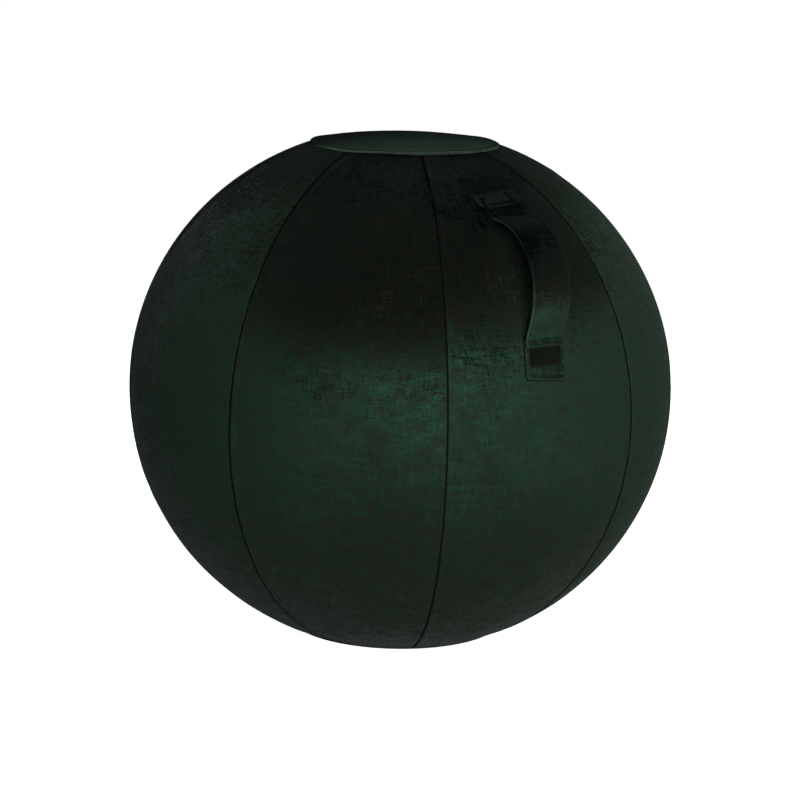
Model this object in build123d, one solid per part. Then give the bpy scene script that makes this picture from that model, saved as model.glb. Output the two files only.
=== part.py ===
"""Sitting ball: an inflated inner ball inside a sewn velvet cover, with a carry handle and a zip.

The cover is a ring of gores between a domed top cap and a flat base panel. Every gore follows one
arc, whose centre lies a little way off the ball's upright axis. The layers under it are arcs about the
same centre, and so is the zip that closes one of the seams.

Frame: +Z up, origin on the floor under the middle of the base panel, handle on the -Y side.
"""

import math
import os

from build123d import *

# Cover, in millimetres
BALL_WIDTH = 650.0  # across the widest line
CAP_RADIUS = 112.0  # at the seam between the gores and the top cap
CAP_SEAM_RISE = 294.0  # that seam above the widest line
CAP_DOME = 9.5  # crown of the top cap above its own edge
BASE_RADIUS = 128.0  # at the seam between the gores and the base panel
GORE_COUNT = 8
COVER_THICKNESS = 4.0  # velvet on a thin foam backing
PANEL_STEP = 2.5  # how far the cap and the base panel stand proud of the gores
PANEL_ROUNDING = 2.0  # on those proud edges
SEAM_ROUNDING = 2.5  # where a gore's edge turns in to its seam
LAYER_GAP = 0.3  # between soft layers that lie on each other

# Inner ball and its valve
BALL_WALL = 1.5
VALVE_FLANGE_RADIUS = 15.0
VALVE_FLANGE_THICKNESS = 3.2
VALVE_NECK_RADIUS = 9.0
VALVE_NECK_LENGTH = 20.0
VALVE_BORE_RADIUS = 5.0
VALVE_SINK = 0.6  # of the flange under the ball's outer face
PLUG_HEAD_RADIUS = 10.0
PLUG_HEAD_THICKNESS = 1.6
PLUG_STEM_LENGTH = 17.0
PLUG_TIP_RADIUS = 3.6
PLUG_RIB_COUNT = 3
PLUG_RIB_WIDTH = 1.4
PLUG_CLEARANCE = 0.06

# Carry handle
HANDLE_DROP = 127.0  # along the cover, from the cap's seam to where the strap lifts off
HANDLE_SPAN = 147.0  # straight from one lift-off to the other
LOOP_RISE = 41.0  # crest of the strap's middle line above that straight
STRAP_WIDTH = 49.0
STRAP_THICKNESS = 4.5
STRAP_ROUNDING = 1.5
STRAP_FOOT = 12.0  # sewn end of the strap
GRIP_HALF_ANGLE = 35.0  # degrees of the loop on each side of its crest that swing as one
PATCH_WIDTH = 50.0
PATCH_THICKNESS = 2.5
PATCH_CORNER = 3.0
UPPER_PATCH_SHOW = 31.0  # bare part of the upper patch, above the strap's end
LOWER_PATCH_SHOW = 36.0  # bare part of the lower patch, below the strap's end
BADGE_LENGTH = 30.0  # plain oval badge on the upper patch
BADGE_HEIGHT = 18.0
BADGE_THICKNESS = 0.8

# Zip
ZIP_SEAM = 3  # counted round from the seam beside the handle's gore
ZIP_LOW_ANGLE = -50.0  # lower end of the zip, in degrees about the gores' centre
ZIP_LENGTH = 352.0
ZIP_SLOT_WIDTH = 13.0  # between the gores' edges
ZIP_HEM = 5.5  # how far the tapes run into the gores' hems
ZIP_DEPTH = 1.6  # of the middle of the tapes under the gores' outer face
TAPE_THICKNESS = 0.6
TAPE_GAP = 4.8  # between the two tapes
TOOTH_PITCH = 4.0  # from one tooth to the next on the same tape
TOOTH_LENGTH = 1.8  # along the zip
TOOTH_HEIGHT = 2.2
TOOTH_REACH = 1.5  # past the middle line
TOOTH_GRIP = 1.2  # over the edge of its tape
TOOTH_BEVEL = 0.4
GRIP_CLEARANCE = 0.06  # of teeth and stops round the tapes
STOP_LENGTH = 4.0
SLIDER_LENGTH = 14.0
SLIDER_WIDTH = 10.4
SLIDER_LIP = 0.9
SLIDER_CLEARANCE = 0.3
UPPER_PLATE = 1.4
LOWER_PLATE = 0.9
PLATE_CORNER = 2.0
WEDGE_LENGTH = 5.0
WEDGE_WIDTH = 3.0
BRIDGE_LENGTH = 9.6
BRIDGE_WIDTH = 2.4
BRIDGE_THICKNESS = 1.4
BRIDGE_RISE = 4.2  # top of the bridge above the upper plate
PULL_BAR_RADIUS = 0.9
PULL_LENGTH = 30.0
PULL_WIDTH = 9.0
PULL_THICKNESS = 1.6
PULL_EYE_LENGTH = 7.0
PULL_EYE_WIDTH = 3.4
PULL_CORNER = 2.0

# Arc that every gore follows: its centre is SIDE_OFFSET out from the axis, level with the widest line
HALF_WIDTH = BALL_WIDTH / 2
SIDE_OFFSET = (HALF_WIDTH**2 - CAP_RADIUS**2 - CAP_SEAM_RISE**2) / (2 * (HALF_WIDTH - CAP_RADIUS))
SIDE_RADIUS = HALF_WIDTH - SIDE_OFFSET
SIDE_CENTRE = (SIDE_OFFSET, 0)
TOP_ANGLE = math.degrees(math.acos((CAP_RADIUS - SIDE_OFFSET) / SIDE_RADIUS))
BASE_ANGLE = -math.degrees(math.acos((BASE_RADIUS - SIDE_OFFSET) / SIDE_RADIUS))
WIDEST_HEIGHT = -(SIDE_RADIUS + PANEL_STEP) * math.sin(math.radians(BASE_ANGLE))

GORE_ANGLE = 360.0 / GORE_COUNT
HANDLE_AZIMUTH = -90.0
ZIP_AZIMUTH = HANDLE_AZIMUTH + (ZIP_SEAM + 0.5) * GORE_ANGLE
BALL_INSET = COVER_THICKNESS + LAYER_GAP


def polar(centre, radius, angle):
    turn = math.radians(angle)
    return centre[0] + radius * math.cos(turn), centre[1] + radius * math.sin(turn)


def side_point(angle, lift=0.0):
    """Point of the side arc, as (distance from the axis, height above the widest line)."""
    return polar(SIDE_CENTRE, SIDE_RADIUS + lift, angle)


def arc_degrees(length, lift=0.0):
    """Angle about the gores' centre that a length along the cover takes up."""
    return math.degrees(length / (SIDE_RADIUS + lift))


def upright_plane(azimuth):
    """Upright plane through the axis: x outwards, y up, origin level with the widest line."""
    turn = math.radians(azimuth)
    return Plane(
        origin=(0, 0, WIDEST_HEIGHT),
        x_dir=(math.cos(turn), math.sin(turn), 0),
        z_dir=(math.sin(turn), -math.cos(turn), 0),
    )


def cover_frame(azimuth, angle, lift=0.0):
    """Frame on the cover: x along the outward normal, y up along the cover, z across."""
    plane = upright_plane(azimuth)
    turn = math.radians(angle)
    return Plane(
        origin=plane.from_local_coords((*side_point(angle, lift), 0)),
        x_dir=plane.x_dir * math.cos(turn) + plane.y_dir * math.sin(turn),
        z_dir=plane.z_dir,
    )


def outward_frame(azimuth, angle, lift=0.0):
    """Frame on the cover whose z runs along the outward normal and whose y runs up the cover."""
    frame = cover_frame(azimuth, angle, lift)
    return Plane(origin=frame.origin, x_dir=frame.y_dir.cross(frame.x_dir), z_dir=frame.x_dir)


def band(low, high, start, end, centre=SIDE_CENTRE, radius=SIDE_RADIUS):
    """Curved strip between two arcs about one centre, drawn in an upright plane."""
    inner = CenterArc(centre, radius + low, start, end - start)
    outer = CenterArc(centre, radius + high, start, end - start)
    return make_face([inner, outer, Line(inner @ 0, outer @ 0), Line(inner @ 1, outer @ 1)])


def turned(face, azimuth=0.0, sweep=360.0):
    """Solid turned about the upright axis from a face drawn in an upright plane."""
    return revolve(upright_plane(azimuth) * face, Axis.Z, sweep)


def across(face, azimuth, width, offset=0.0):
    """Solid drawn out of an upright plane, half its width to each side of an offset."""
    return extrude(upright_plane(azimuth).offset(offset) * face, width / 2, both=True)


def block(x_range, y_range, z_range):
    spans = [x_range, y_range, z_range]
    middle = [(low + high) / 2 for low, high in spans]
    return Pos(*middle) * Box(*[high - low for low, high in spans])


def save(node, shape):
    shape.label = node
    export_step(shape, f"parts/{node}.step")


# Profiles of the top cap, the base panel and the inner ball
CAP_EDGE = side_point(TOP_ANGLE, PANEL_STEP)
BASE_EDGE = side_point(BASE_ANGLE, PANEL_STEP)
CROWN_HEIGHT = CAP_EDGE[1] + CAP_DOME


def dome_arc(crown, edge):
    """Arc of a dome, from its crown on the axis out to its edge."""
    rise = crown - edge[1]
    radius = (edge[0] ** 2 + rise**2) / (2 * rise)
    return CenterArc((0, crown - radius), radius, 90, -math.degrees(math.asin(edge[0] / radius)))


def lining_arc(inset):
    """Underside of the top cap, or a layer under it, drawn in from the cover's outer face."""
    return dome_arc(CROWN_HEIGHT - inset, side_point(TOP_ANGLE, -inset))


def floor_line(inset):
    """Upper side of the base panel, or a layer over it, from the seam in to the axis."""
    floor = inset - WIDEST_HEIGHT
    seam = side_point(BASE_ANGLE, -inset)
    return Polyline(seam, (seam[0] - PANEL_STEP - inset, floor), (0, floor))


def ball_profile(inset):
    """Half outline of the inflated ball, drawn in from the cover's outer face."""
    dome = lining_arc(inset)
    floor = floor_line(inset)
    side = CenterArc(SIDE_CENTRE, SIDE_RADIUS - inset, TOP_ANGLE, BASE_ANGLE - TOP_ANGLE)
    return make_face([dome, side, *floor.edges(), Line(floor @ 1, dome @ 0)])


def rounded_at(face, point, radius):
    return fillet(face.vertices().sort_by_distance(Vector(*point))[0], radius)


def make_top_cap():
    outer = dome_arc(CROWN_HEIGHT, CAP_EDGE)
    inner = lining_arc(COVER_THICKNESS)
    face = make_face([outer, Line(outer @ 1, inner @ 1), inner, Line(inner @ 0, outer @ 0)])
    return turned(rounded_at(face, CAP_EDGE, PANEL_ROUNDING))


def make_base_panel():
    inner = floor_line(COVER_THICKNESS)
    outer = Polyline(inner @ 1, (0, -WIDEST_HEIGHT), BASE_EDGE, inner @ 0)
    face = make_face([*inner.edges(), *outer.edges()])
    return turned(rounded_at(face, BASE_EDGE, PANEL_ROUNDING))


def make_gore(number):
    start = HANDLE_AZIMUTH + (number - 0.5) * GORE_ANGLE
    gore = turned(band(-COVER_THICKNESS, 0, BASE_ANGLE, TOP_ANGLE), start, GORE_ANGLE)
    arcs = gore.edges().filter_by(GeomType.CIRCLE)
    return fillet(arcs.filter_by(lambda edge: abs(edge.radius - SIDE_RADIUS) < 1e-6), SEAM_ROUNDING)


# Inner ball and valve
VALVE_ANGLE = ZIP_LOW_ANGLE + arc_degrees(ZIP_LENGTH) / 2
VALVE_FRAME = outward_frame(ZIP_AZIMUTH, VALVE_ANGLE, -BALL_INSET - VALVE_SINK)
INWARDS = (Align.CENTER, Align.CENTER, Align.MAX)


def make_inner_ball():
    ball = turned(ball_profile(BALL_INSET)) - turned(ball_profile(BALL_INSET + BALL_WALL))
    hole = Cylinder(VALVE_FLANGE_RADIUS, 4 * VALVE_FLANGE_THICKNESS)
    return ball - VALVE_FRAME * hole


def make_valve_seat():
    neck_length = VALVE_FLANGE_THICKNESS + VALVE_NECK_LENGTH
    head_room = PLUG_HEAD_THICKNESS + PLUG_CLEARANCE
    seat = Cylinder(VALVE_FLANGE_RADIUS, VALVE_FLANGE_THICKNESS, align=INWARDS)
    seat += Cylinder(VALVE_NECK_RADIUS, neck_length, align=INWARDS)
    seat -= Cylinder(VALVE_BORE_RADIUS, neck_length, align=INWARDS)
    seat -= Cylinder(PLUG_HEAD_RADIUS + PLUG_CLEARANCE, head_room, align=INWARDS)
    return VALVE_FRAME * seat


def make_valve_plug():
    rib_radius = VALVE_BORE_RADIUS - PLUG_CLEARANCE
    plug = Cylinder(PLUG_HEAD_RADIUS, PLUG_HEAD_THICKNESS, align=INWARDS)
    stem = Cone(PLUG_TIP_RADIUS, rib_radius, PLUG_STEM_LENGTH, align=INWARDS)
    plug += Pos(Z=-PLUG_HEAD_THICKNESS) * stem
    for rib in range(PLUG_RIB_COUNT):
        depth = PLUG_HEAD_THICKNESS + PLUG_STEM_LENGTH * (rib + 1) / (PLUG_RIB_COUNT + 1)
        plug += Pos(Z=-depth) * Cylinder(rib_radius, PLUG_RIB_WIDTH)
    return VALVE_FRAME * plug


# Carry handle: a strap that arches between two patches, in the upright plane through the handle's gore
PATCH_LIFT = LAYER_GAP
STRAP_LIFT = PATCH_LIFT + PATCH_THICKNESS + LAYER_GAP + STRAP_THICKNESS / 2
UPPER_ANGLE = TOP_ANGLE - arc_degrees(HANDLE_DROP)
SPAN_HALF_ANGLE = math.degrees(math.asin(HANDLE_SPAN / 2 / (SIDE_RADIUS + STRAP_LIFT)))
LOWER_ANGLE = UPPER_ANGLE - 2 * SPAN_HALF_ANGLE
LOOP_ANGLE = (UPPER_ANGLE + LOWER_ANGLE) / 2
CHORD_REACH = (SIDE_RADIUS + STRAP_LIFT) * math.cos(math.radians(SPAN_HALF_ANGLE))
LOOP_RADIUS = ((HANDLE_SPAN / 2) ** 2 + LOOP_RISE**2) / (2 * LOOP_RISE)
LOOP_CENTRE = polar(SIDE_CENTRE, CHORD_REACH + LOOP_RISE - LOOP_RADIUS, LOOP_ANGLE)
LOOP_HALF_ANGLE = math.degrees(math.atan2(HANDLE_SPAN / 2, LOOP_RADIUS - LOOP_RISE))
FOOT_DEGREES = arc_degrees(STRAP_FOOT, STRAP_LIFT)


def strap_band(start, end):
    half = STRAP_THICKNESS / 2
    return band(-half, half, LOOP_ANGLE + start, LOOP_ANGLE + end, LOOP_CENTRE, LOOP_RADIUS)


def make_grip():
    grip = across(strap_band(-GRIP_HALF_ANGLE, GRIP_HALF_ANGLE), HANDLE_AZIMUTH, STRAP_WIDTH)
    return fillet(grip.edges().filter_by(GeomType.CIRCLE), STRAP_ROUNDING)


def make_strap_end(lift_off, side):
    """End of the strap: from the grip down to its lift-off, then a foot along its patch."""
    half = STRAP_THICKNESS / 2
    leg = sorted([side * GRIP_HALF_ANGLE, side * LOOP_HALF_ANGLE])
    foot = sorted([lift_off, lift_off + side * FOOT_DEGREES])
    face = strap_band(*leg) + band(STRAP_LIFT - half, STRAP_LIFT + half, *foot)
    face += Pos(*side_point(lift_off, STRAP_LIFT)) * Circle(half)
    return across(face, HANDLE_AZIMUTH, STRAP_WIDTH)


def make_patch(lift_off, side, show):
    """Patch on the cover that runs from under the strap's foot to beyond its end."""
    length = STRAP_FOOT + show
    layer = band(PATCH_LIFT, PATCH_LIFT + PATCH_THICKNESS, BASE_ANGLE, TOP_ANGLE)
    middle = lift_off + side * arc_degrees(length) / 2
    outline = extrude(RectangleRounded(PATCH_WIDTH, length, PATCH_CORNER), PATCH_WIDTH / 2, both=True)
    ring = turned(layer, HANDLE_AZIMUTH - GORE_ANGLE / 2, GORE_ANGLE)
    return ring & (outward_frame(HANDLE_AZIMUTH, middle) * outline)


def make_badge():
    low = PATCH_LIFT + PATCH_THICKNESS + LAYER_GAP
    middle = UPPER_ANGLE + arc_degrees(STRAP_FOOT + UPPER_PATCH_SHOW / 2)
    outline = extrude(Ellipse(BADGE_LENGTH / 2, BADGE_HEIGHT / 2), BADGE_LENGTH, both=True)
    layer = band(low, low + BADGE_THICKNESS, BASE_ANGLE, TOP_ANGLE)
    ring = turned(layer, HANDLE_AZIMUTH - GORE_ANGLE / 2, GORE_ANGLE)
    return ring & (outward_frame(HANDLE_AZIMUTH, middle) * outline)


# Zip, in lengths measured up from its lower end
ZIP_HIGH_ANGLE = ZIP_LOW_ANGLE + arc_degrees(ZIP_LENGTH)
STOP_INSET = STOP_LENGTH / 2 + GRIP_CLEARANCE
SLIDER_REST = STOP_INSET + STOP_LENGTH / 2 + SLIDER_CLEARANCE + SLIDER_LENGTH / 2
TEETH_START = SLIDER_REST - SLIDER_LENGTH / 2 + WEDGE_LENGTH + TOOTH_LENGTH
TEETH_END = ZIP_LENGTH - STOP_INSET - STOP_LENGTH / 2 - TOOTH_LENGTH
TOOTH_COUNT = int((TEETH_END - TEETH_START) / TOOTH_PITCH)
CHANNEL = TOOTH_HEIGHT / 2 + SLIDER_CLEARANCE  # half the height inside the slider
PLATE_TOP = CHANNEL + UPPER_PLATE
PULL_AXIS = PLATE_TOP + (BRIDGE_RISE - BRIDGE_THICKNESS) / 2


def zip_frame(length):
    """Frame on the middle of the tapes: x outwards, y up the zip, z across."""
    return cover_frame(ZIP_AZIMUTH, ZIP_LOW_ANGLE + arc_degrees(length), -ZIP_DEPTH)


def make_tape(side):
    half = TAPE_THICKNESS / 2
    width = (ZIP_SLOT_WIDTH - TAPE_GAP) / 2 + ZIP_HEM
    strip = band(-ZIP_DEPTH - half, -ZIP_DEPTH + half, ZIP_LOW_ANGLE, ZIP_HIGH_ANGLE)
    return across(strip, ZIP_AZIMUTH, width, side * (TAPE_GAP + width) / 2)


def make_slot():
    opening = band(-2 * COVER_THICKNESS, COVER_THICKNESS, ZIP_LOW_ANGLE, ZIP_HIGH_ANGLE)
    return across(opening, ZIP_AZIMUTH, ZIP_SLOT_WIDTH)


def tape_room(reach):
    """Room round the edges of both tapes, from the gap between them outwards."""
    half = TAPE_THICKNESS / 2 + GRIP_CLEARANCE
    inner = TAPE_GAP / 2 - GRIP_CLEARANCE
    left = block((-half, half), (-reach, reach), (inner, reach))
    return left + mirror(left, Plane.XY)


def make_teeth(side):
    half_height, half_length = TOOTH_HEIGHT / 2, TOOTH_LENGTH / 2
    tail = TAPE_GAP / 2 + TOOTH_GRIP
    tooth = block((-half_height, half_height), (-half_length, half_length), (-TOOTH_REACH, tail))
    tooth = chamfer(tooth.faces().sort_by(Axis.Z)[0].edges(), TOOTH_BEVEL)
    tooth -= tape_room(2 * tail)
    if side < 0:
        tooth = mirror(tooth, Plane.XY)
    first = TEETH_START + (TOOTH_PITCH / 2 if side < 0 else 0)
    return Compound(children=[zip_frame(first + n * TOOTH_PITCH) * tooth for n in range(TOOTH_COUNT)])


def make_stop(middle):
    half_height, half_length = TOOTH_HEIGHT / 2, STOP_LENGTH / 2
    half_width = TAPE_GAP / 2 + TOOTH_GRIP
    stop = block((-half_height, half_height), (-half_length, half_length), (-half_width, half_width))
    return zip_frame(middle) * (stop - tape_room(2 * STOP_LENGTH))


def make_slider():
    half_length, half_width = SLIDER_LENGTH / 2, SLIDER_WIDTH / 2
    outline = Plane.YZ * RectangleRounded(SLIDER_LENGTH, SLIDER_WIDTH, PLATE_CORNER)
    slider = Pos(X=CHANNEL) * extrude(outline, UPPER_PLATE)
    slider += Pos(X=-CHANNEL - LOWER_PLATE) * extrude(outline, LOWER_PLATE)
    lip_foot = TAPE_THICKNESS / 2 + SLIDER_CLEARANCE
    lip_length = half_length - PLATE_CORNER
    for side in (-1, 1):
        lip_span = sorted([side * half_width, side * (half_width - SLIDER_LIP)])
        for face in (-1, 1):
            lip_rise = sorted([face * lip_foot, face * CHANNEL])
            slider += block(lip_rise, (-lip_length, lip_length), lip_span)
    wedge = Polyline(
        (-half_length, 0),
        (-half_length + WEDGE_LENGTH / 2, WEDGE_WIDTH / 2),
        (-half_length + WEDGE_LENGTH, 0),
        (-half_length + WEDGE_LENGTH / 2, -WEDGE_WIDTH / 2),
        close=True,
    )
    slider += extrude(Plane.YZ * make_face(wedge), CHANNEL, both=True)
    arch = block((PLATE_TOP, PLATE_TOP + BRIDGE_RISE), (-BRIDGE_LENGTH / 2, BRIDGE_LENGTH / 2),
                 (-BRIDGE_WIDTH / 2, BRIDGE_WIDTH / 2))
    arch = fillet(arch.faces().sort_by(Axis.X)[-1].edges().filter_by(Axis.Z), BRIDGE_THICKNESS)
    clear = BRIDGE_LENGTH / 2 - BRIDGE_THICKNESS
    slider += arch - block((PLATE_TOP, PLATE_TOP + BRIDGE_RISE - BRIDGE_THICKNESS), (-clear, clear),
                           (-BRIDGE_WIDTH, BRIDGE_WIDTH))
    return zip_frame(SLIDER_REST) * slider


def make_pull():
    """Pull tab, hanging straight down from the bar under the slider's bridge."""
    half = PULL_THICKNESS / 2
    outline = Pos(Y=PULL_BAR_RADIUS - PULL_LENGTH / 2)
    outline *= RectangleRounded(PULL_WIDTH, PULL_LENGTH, PULL_CORNER)
    eye = Pos(Y=-PULL_BAR_RADIUS - PULL_EYE_LENGTH / 2) * Rectangle(PULL_EYE_WIDTH, PULL_EYE_LENGTH)
    bar = Rot(Y=90) * Cylinder(PULL_BAR_RADIUS, PULL_WIDTH - 2 * PULL_CORNER)
    tab = extrude(outline - eye, half, both=True) + bar
    plane = upright_plane(ZIP_AZIMUTH)
    axis = zip_frame(SLIDER_REST).from_local_coords((PULL_AXIS, 0, 0))
    return Plane(origin=axis, x_dir=plane.z_dir, z_dir=plane.x_dir * -1) * tab


if __name__ == "__main__":
    os.makedirs("parts", exist_ok=True)
    tapes = {"left": make_tape(1), "right": make_tape(-1)}
    slot = make_slot()
    for number in range(GORE_COUNT):
        gore = make_gore(number)
        if number in (ZIP_SEAM, ZIP_SEAM + 1):
            gore = gore - slot - tapes["left"] - tapes["right"]
        save(f"cover_gore_{number + 1}", gore)
    save("top_cap", make_top_cap())
    save("base_panel", make_base_panel())
    save("inner_ball", make_inner_ball())
    save("valve_seat", make_valve_seat())
    save("valve_plug", make_valve_plug())
    save("handle_grip", make_grip())
    save("handle_upper_end", make_strap_end(UPPER_ANGLE, 1))
    save("handle_lower_end", make_strap_end(LOWER_ANGLE, -1))
    save("handle_upper_patch", make_patch(UPPER_ANGLE, 1, UPPER_PATCH_SHOW))
    save("handle_lower_patch", make_patch(LOWER_ANGLE, -1, LOWER_PATCH_SHOW))
    save("handle_badge", make_badge())
    for side, tape in tapes.items():
        save(f"zip_tape_{side}", tape)
    save("zip_teeth_left", make_teeth(1))
    save("zip_teeth_right", make_teeth(-1))
    save("zip_bottom_stop", make_stop(STOP_INSET))
    save("zip_top_stop", make_stop(ZIP_LENGTH - STOP_INSET))
    save("zip_slider", make_slider())
    save("zip_pull", make_pull())

    handle = upright_plane(HANDLE_AZIMUTH)
    print("widest line", WIDEST_HEIGHT, "crown", WIDEST_HEIGHT + CROWN_HEIGHT)
    print("side arc", SIDE_OFFSET, SIDE_RADIUS, "angles", BASE_ANGLE, TOP_ANGLE)
    for angle in (UPPER_ANGLE, LOWER_ANGLE):
        print("strap lifts off", angle, handle.from_local_coords((*side_point(angle, STRAP_LIFT), 0)))
    print("loop", LOOP_ANGLE, LOOP_RADIUS, LOOP_HALF_ANGLE, handle.from_local_coords((*LOOP_CENTRE, 0)))
    seam = upright_plane(ZIP_AZIMUTH)
    print("slider turns about", seam.from_local_coords((*SIDE_CENTRE, 0)), seam.z_dir)
    print("slider travel", arc_degrees(ZIP_LENGTH - 2 * SLIDER_REST))
    print("pull turns about", zip_frame(SLIDER_REST).from_local_coords((PULL_AXIS, 0, 0)))
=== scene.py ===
# %% [markdown]
# # A sitting ball in dark green velvet
# The ball is an inflated bladder inside a sewn cover. The cover has a ring of gores, which are panels
# shaped like slices of peel, between a domed cap on top and a flat panel below. One gore carries a
# strap, and one seam at the back holds a zip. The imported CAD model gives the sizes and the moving
# bodies, and this script dresses it with cloth, thread and light.

# %% Load the frame
import math

import bpy
import numpy as np
from mathutils import Matrix, Vector


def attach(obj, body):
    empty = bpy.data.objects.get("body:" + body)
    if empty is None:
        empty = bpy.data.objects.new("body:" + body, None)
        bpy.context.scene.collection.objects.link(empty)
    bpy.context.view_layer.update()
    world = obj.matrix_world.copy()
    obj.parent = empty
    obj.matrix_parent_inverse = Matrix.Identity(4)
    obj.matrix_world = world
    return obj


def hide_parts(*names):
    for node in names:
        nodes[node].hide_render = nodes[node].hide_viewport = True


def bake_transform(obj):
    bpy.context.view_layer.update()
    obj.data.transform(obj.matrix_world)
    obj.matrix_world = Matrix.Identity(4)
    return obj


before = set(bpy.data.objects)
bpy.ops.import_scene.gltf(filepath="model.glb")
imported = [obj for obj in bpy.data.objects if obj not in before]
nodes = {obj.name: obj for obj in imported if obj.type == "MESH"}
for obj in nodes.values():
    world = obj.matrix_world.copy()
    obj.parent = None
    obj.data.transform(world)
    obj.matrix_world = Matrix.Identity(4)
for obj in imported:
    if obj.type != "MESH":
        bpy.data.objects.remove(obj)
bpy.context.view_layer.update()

# %% [markdown]
# ## The sizes behind every panel
# All gores follow one arc. Its centre lies a little off the upright axis, so that a ball that is wider
# than it is high still has a single round side. The numbers below are the model's driving sizes again,
# in metres, and the rest is worked out from them.

# %% Sizes of the ball
MM = 0.001
BALL_WIDTH = 650 * MM
CAP_RADIUS = 112 * MM
CAP_SEAM_RISE = 294 * MM
CAP_DOME = 9.5 * MM
BASE_RADIUS = 128 * MM
PANEL_STEP = 2.5 * MM
GORE_COUNT = 8

HALF_WIDTH = BALL_WIDTH / 2
SIDE_OFFSET = (HALF_WIDTH**2 - CAP_RADIUS**2 - CAP_SEAM_RISE**2) / (2 * (HALF_WIDTH - CAP_RADIUS))
SIDE_RADIUS = HALF_WIDTH - SIDE_OFFSET
TOP_ANGLE = math.acos((CAP_RADIUS - SIDE_OFFSET) / SIDE_RADIUS)
BASE_ANGLE = -math.acos((BASE_RADIUS - SIDE_OFFSET) / SIDE_RADIUS)
WIDEST_HEIGHT = -(SIDE_RADIUS + PANEL_STEP) * math.sin(BASE_ANGLE)
GORE_ANGLE = 2 * math.pi / GORE_COUNT
HANDLE_AZIMUTH = -math.pi / 2
ZIP_GORES_ROUND = 3.5
ZIP_AZIMUTH = HANDLE_AZIMUTH + ZIP_GORES_ROUND * GORE_ANGLE


def cover_point(azimuth, angle, lift=0.0):
    """Point on the cover, or lifted off it, and the outward normal there."""
    east, north = math.cos(azimuth), math.sin(azimuth)
    out = Vector((east * math.cos(angle), north * math.cos(angle), math.sin(angle)))
    centre = Vector((east * SIDE_OFFSET, north * SIDE_OFFSET, WIDEST_HEIGHT))
    return centre + out * (SIDE_RADIUS + lift), out


def cover_point_aside(azimuth, angle, aside, lift=0.0):
    """The same, for a place that lies a distance aside along the level line."""
    reach = SIDE_OFFSET + SIDE_RADIUS * math.cos(angle)
    return cover_point(azimuth + aside / reach, angle, lift)


print("side radius %.1f mm, widest line %.1f mm up" % (SIDE_RADIUS / MM, WIDEST_HEIGHT / MM))

# %% [markdown]
# ## Formulas as nodes
# Both geometry trees and shader trees do arithmetic with Math nodes. Wiring them by hand is long and
# hard to read, so a small class turns plus, minus and times into nodes. A formula in the script then
# looks like the formula in the head.

# %% Arithmetic with nodes


class Field:
    """A number that changes over a surface: one output socket in a node tree."""

    def __init__(self, tree, socket):
        self.tree, self.socket = tree, socket

    def math(self, operation, *others):
        node = self.tree.nodes.new("ShaderNodeMath")
        node.operation = operation
        for slot, value in zip(node.inputs, (self, *others)):
            plug(self.tree, value, slot)
        return Field(self.tree, node.outputs[0])

    def __add__(self, other):
        return self.math("ADD", other)

    def __sub__(self, other):
        return self.math("SUBTRACT", other)

    def __mul__(self, other):
        return self.math("MULTIPLY", other)

    def __truediv__(self, other):
        return self.math("DIVIDE", other)

    def sin(self):
        return self.math("SINE")

    def cos(self):
        return self.math("COSINE")

    def bell(self, width):
        """1 where the number is 0, falling away over a width."""
        ratio = self / width
        return (ratio * ratio * -1.0).math("EXPONENT")

    def ramp(self, low, high, start=0.0, end=1.0):
        """A smooth step from one value to another between two marks."""
        node = self.tree.nodes.new("ShaderNodeMapRange")
        node.interpolation_type = "SMOOTHSTEP"
        for slot, value in zip(node.inputs, (self, low, high, start, end)):
            plug(self.tree, value, slot)
        return Field(self.tree, node.outputs[0])


def plug(tree, value, slot):
    """Link a field or a socket to a slot, or set a plain value on it."""
    if isinstance(value, Field):
        tree.links.new(value.socket, slot)
    elif isinstance(value, bpy.types.NodeSocket):
        tree.links.new(value, slot)
    else:
        slot.default_value = value


print("fields ready")

# %% Nodes with named inputs
FLOAT, VECTOR = "NodeSocketFloat", "NodeSocketVector"
GEOMETRY, MATERIAL = "NodeSocketGeometry", "NodeSocketMaterial"


def add_node(tree, kind, settings=None, **values):
    """New node with settings and with values or links on its named inputs."""
    node = tree.nodes.new(kind)
    for key, value in (settings or {}).items():
        setattr(node, key, value)
    for key, value in values.items():
        plug(tree, value, node.inputs[key.replace("_", " ")])
    return node


def vector(tree, x, y, z):
    return add_node(tree, "ShaderNodeCombineXYZ", X=x, Y=y, Z=z).outputs[0]


def axes(tree, place, names="XY"):
    """Fields with the named parts of a vector."""
    parts = add_node(tree, "ShaderNodeSeparateXYZ", Vector=place)
    return [Field(tree, parts.outputs[name]) for name in names]


def vector_math(tree, operation, *values, scale=None):
    node = add_node(tree, "ShaderNodeVectorMath", {"operation": operation})
    for slot, value in zip(node.inputs, values):
        plug(tree, value, slot)
    if scale is not None:
        plug(tree, scale, node.inputs["Scale"])
    return node.outputs["Value" if operation == "LENGTH" else "Vector"]


def noise(tree, place, scale=1.0, detail=2.0):
    """Soft random field between 0 and 1."""
    node = add_node(tree, "ShaderNodeTexNoise", Vector=place, Scale=scale, Detail=detail)
    return Field(tree, node.outputs[0])


def new_tree(name, kind, inputs=(), outputs=()):
    """Node group with named sockets, each given as (name, type, default)."""
    tree = bpy.data.node_groups.new(name, kind)
    for label, socket_type, default in inputs:
        socket = tree.interface.new_socket(label, in_out="INPUT", socket_type=socket_type)
        if default is not None:
            socket.default_value = default
    for label, socket_type in outputs:
        tree.interface.new_socket(label, in_out="OUTPUT", socket_type=socket_type)
    return tree, tree.nodes.new("NodeGroupInput"), tree.nodes.new("NodeGroupOutput")


print("node helpers ready")

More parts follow.
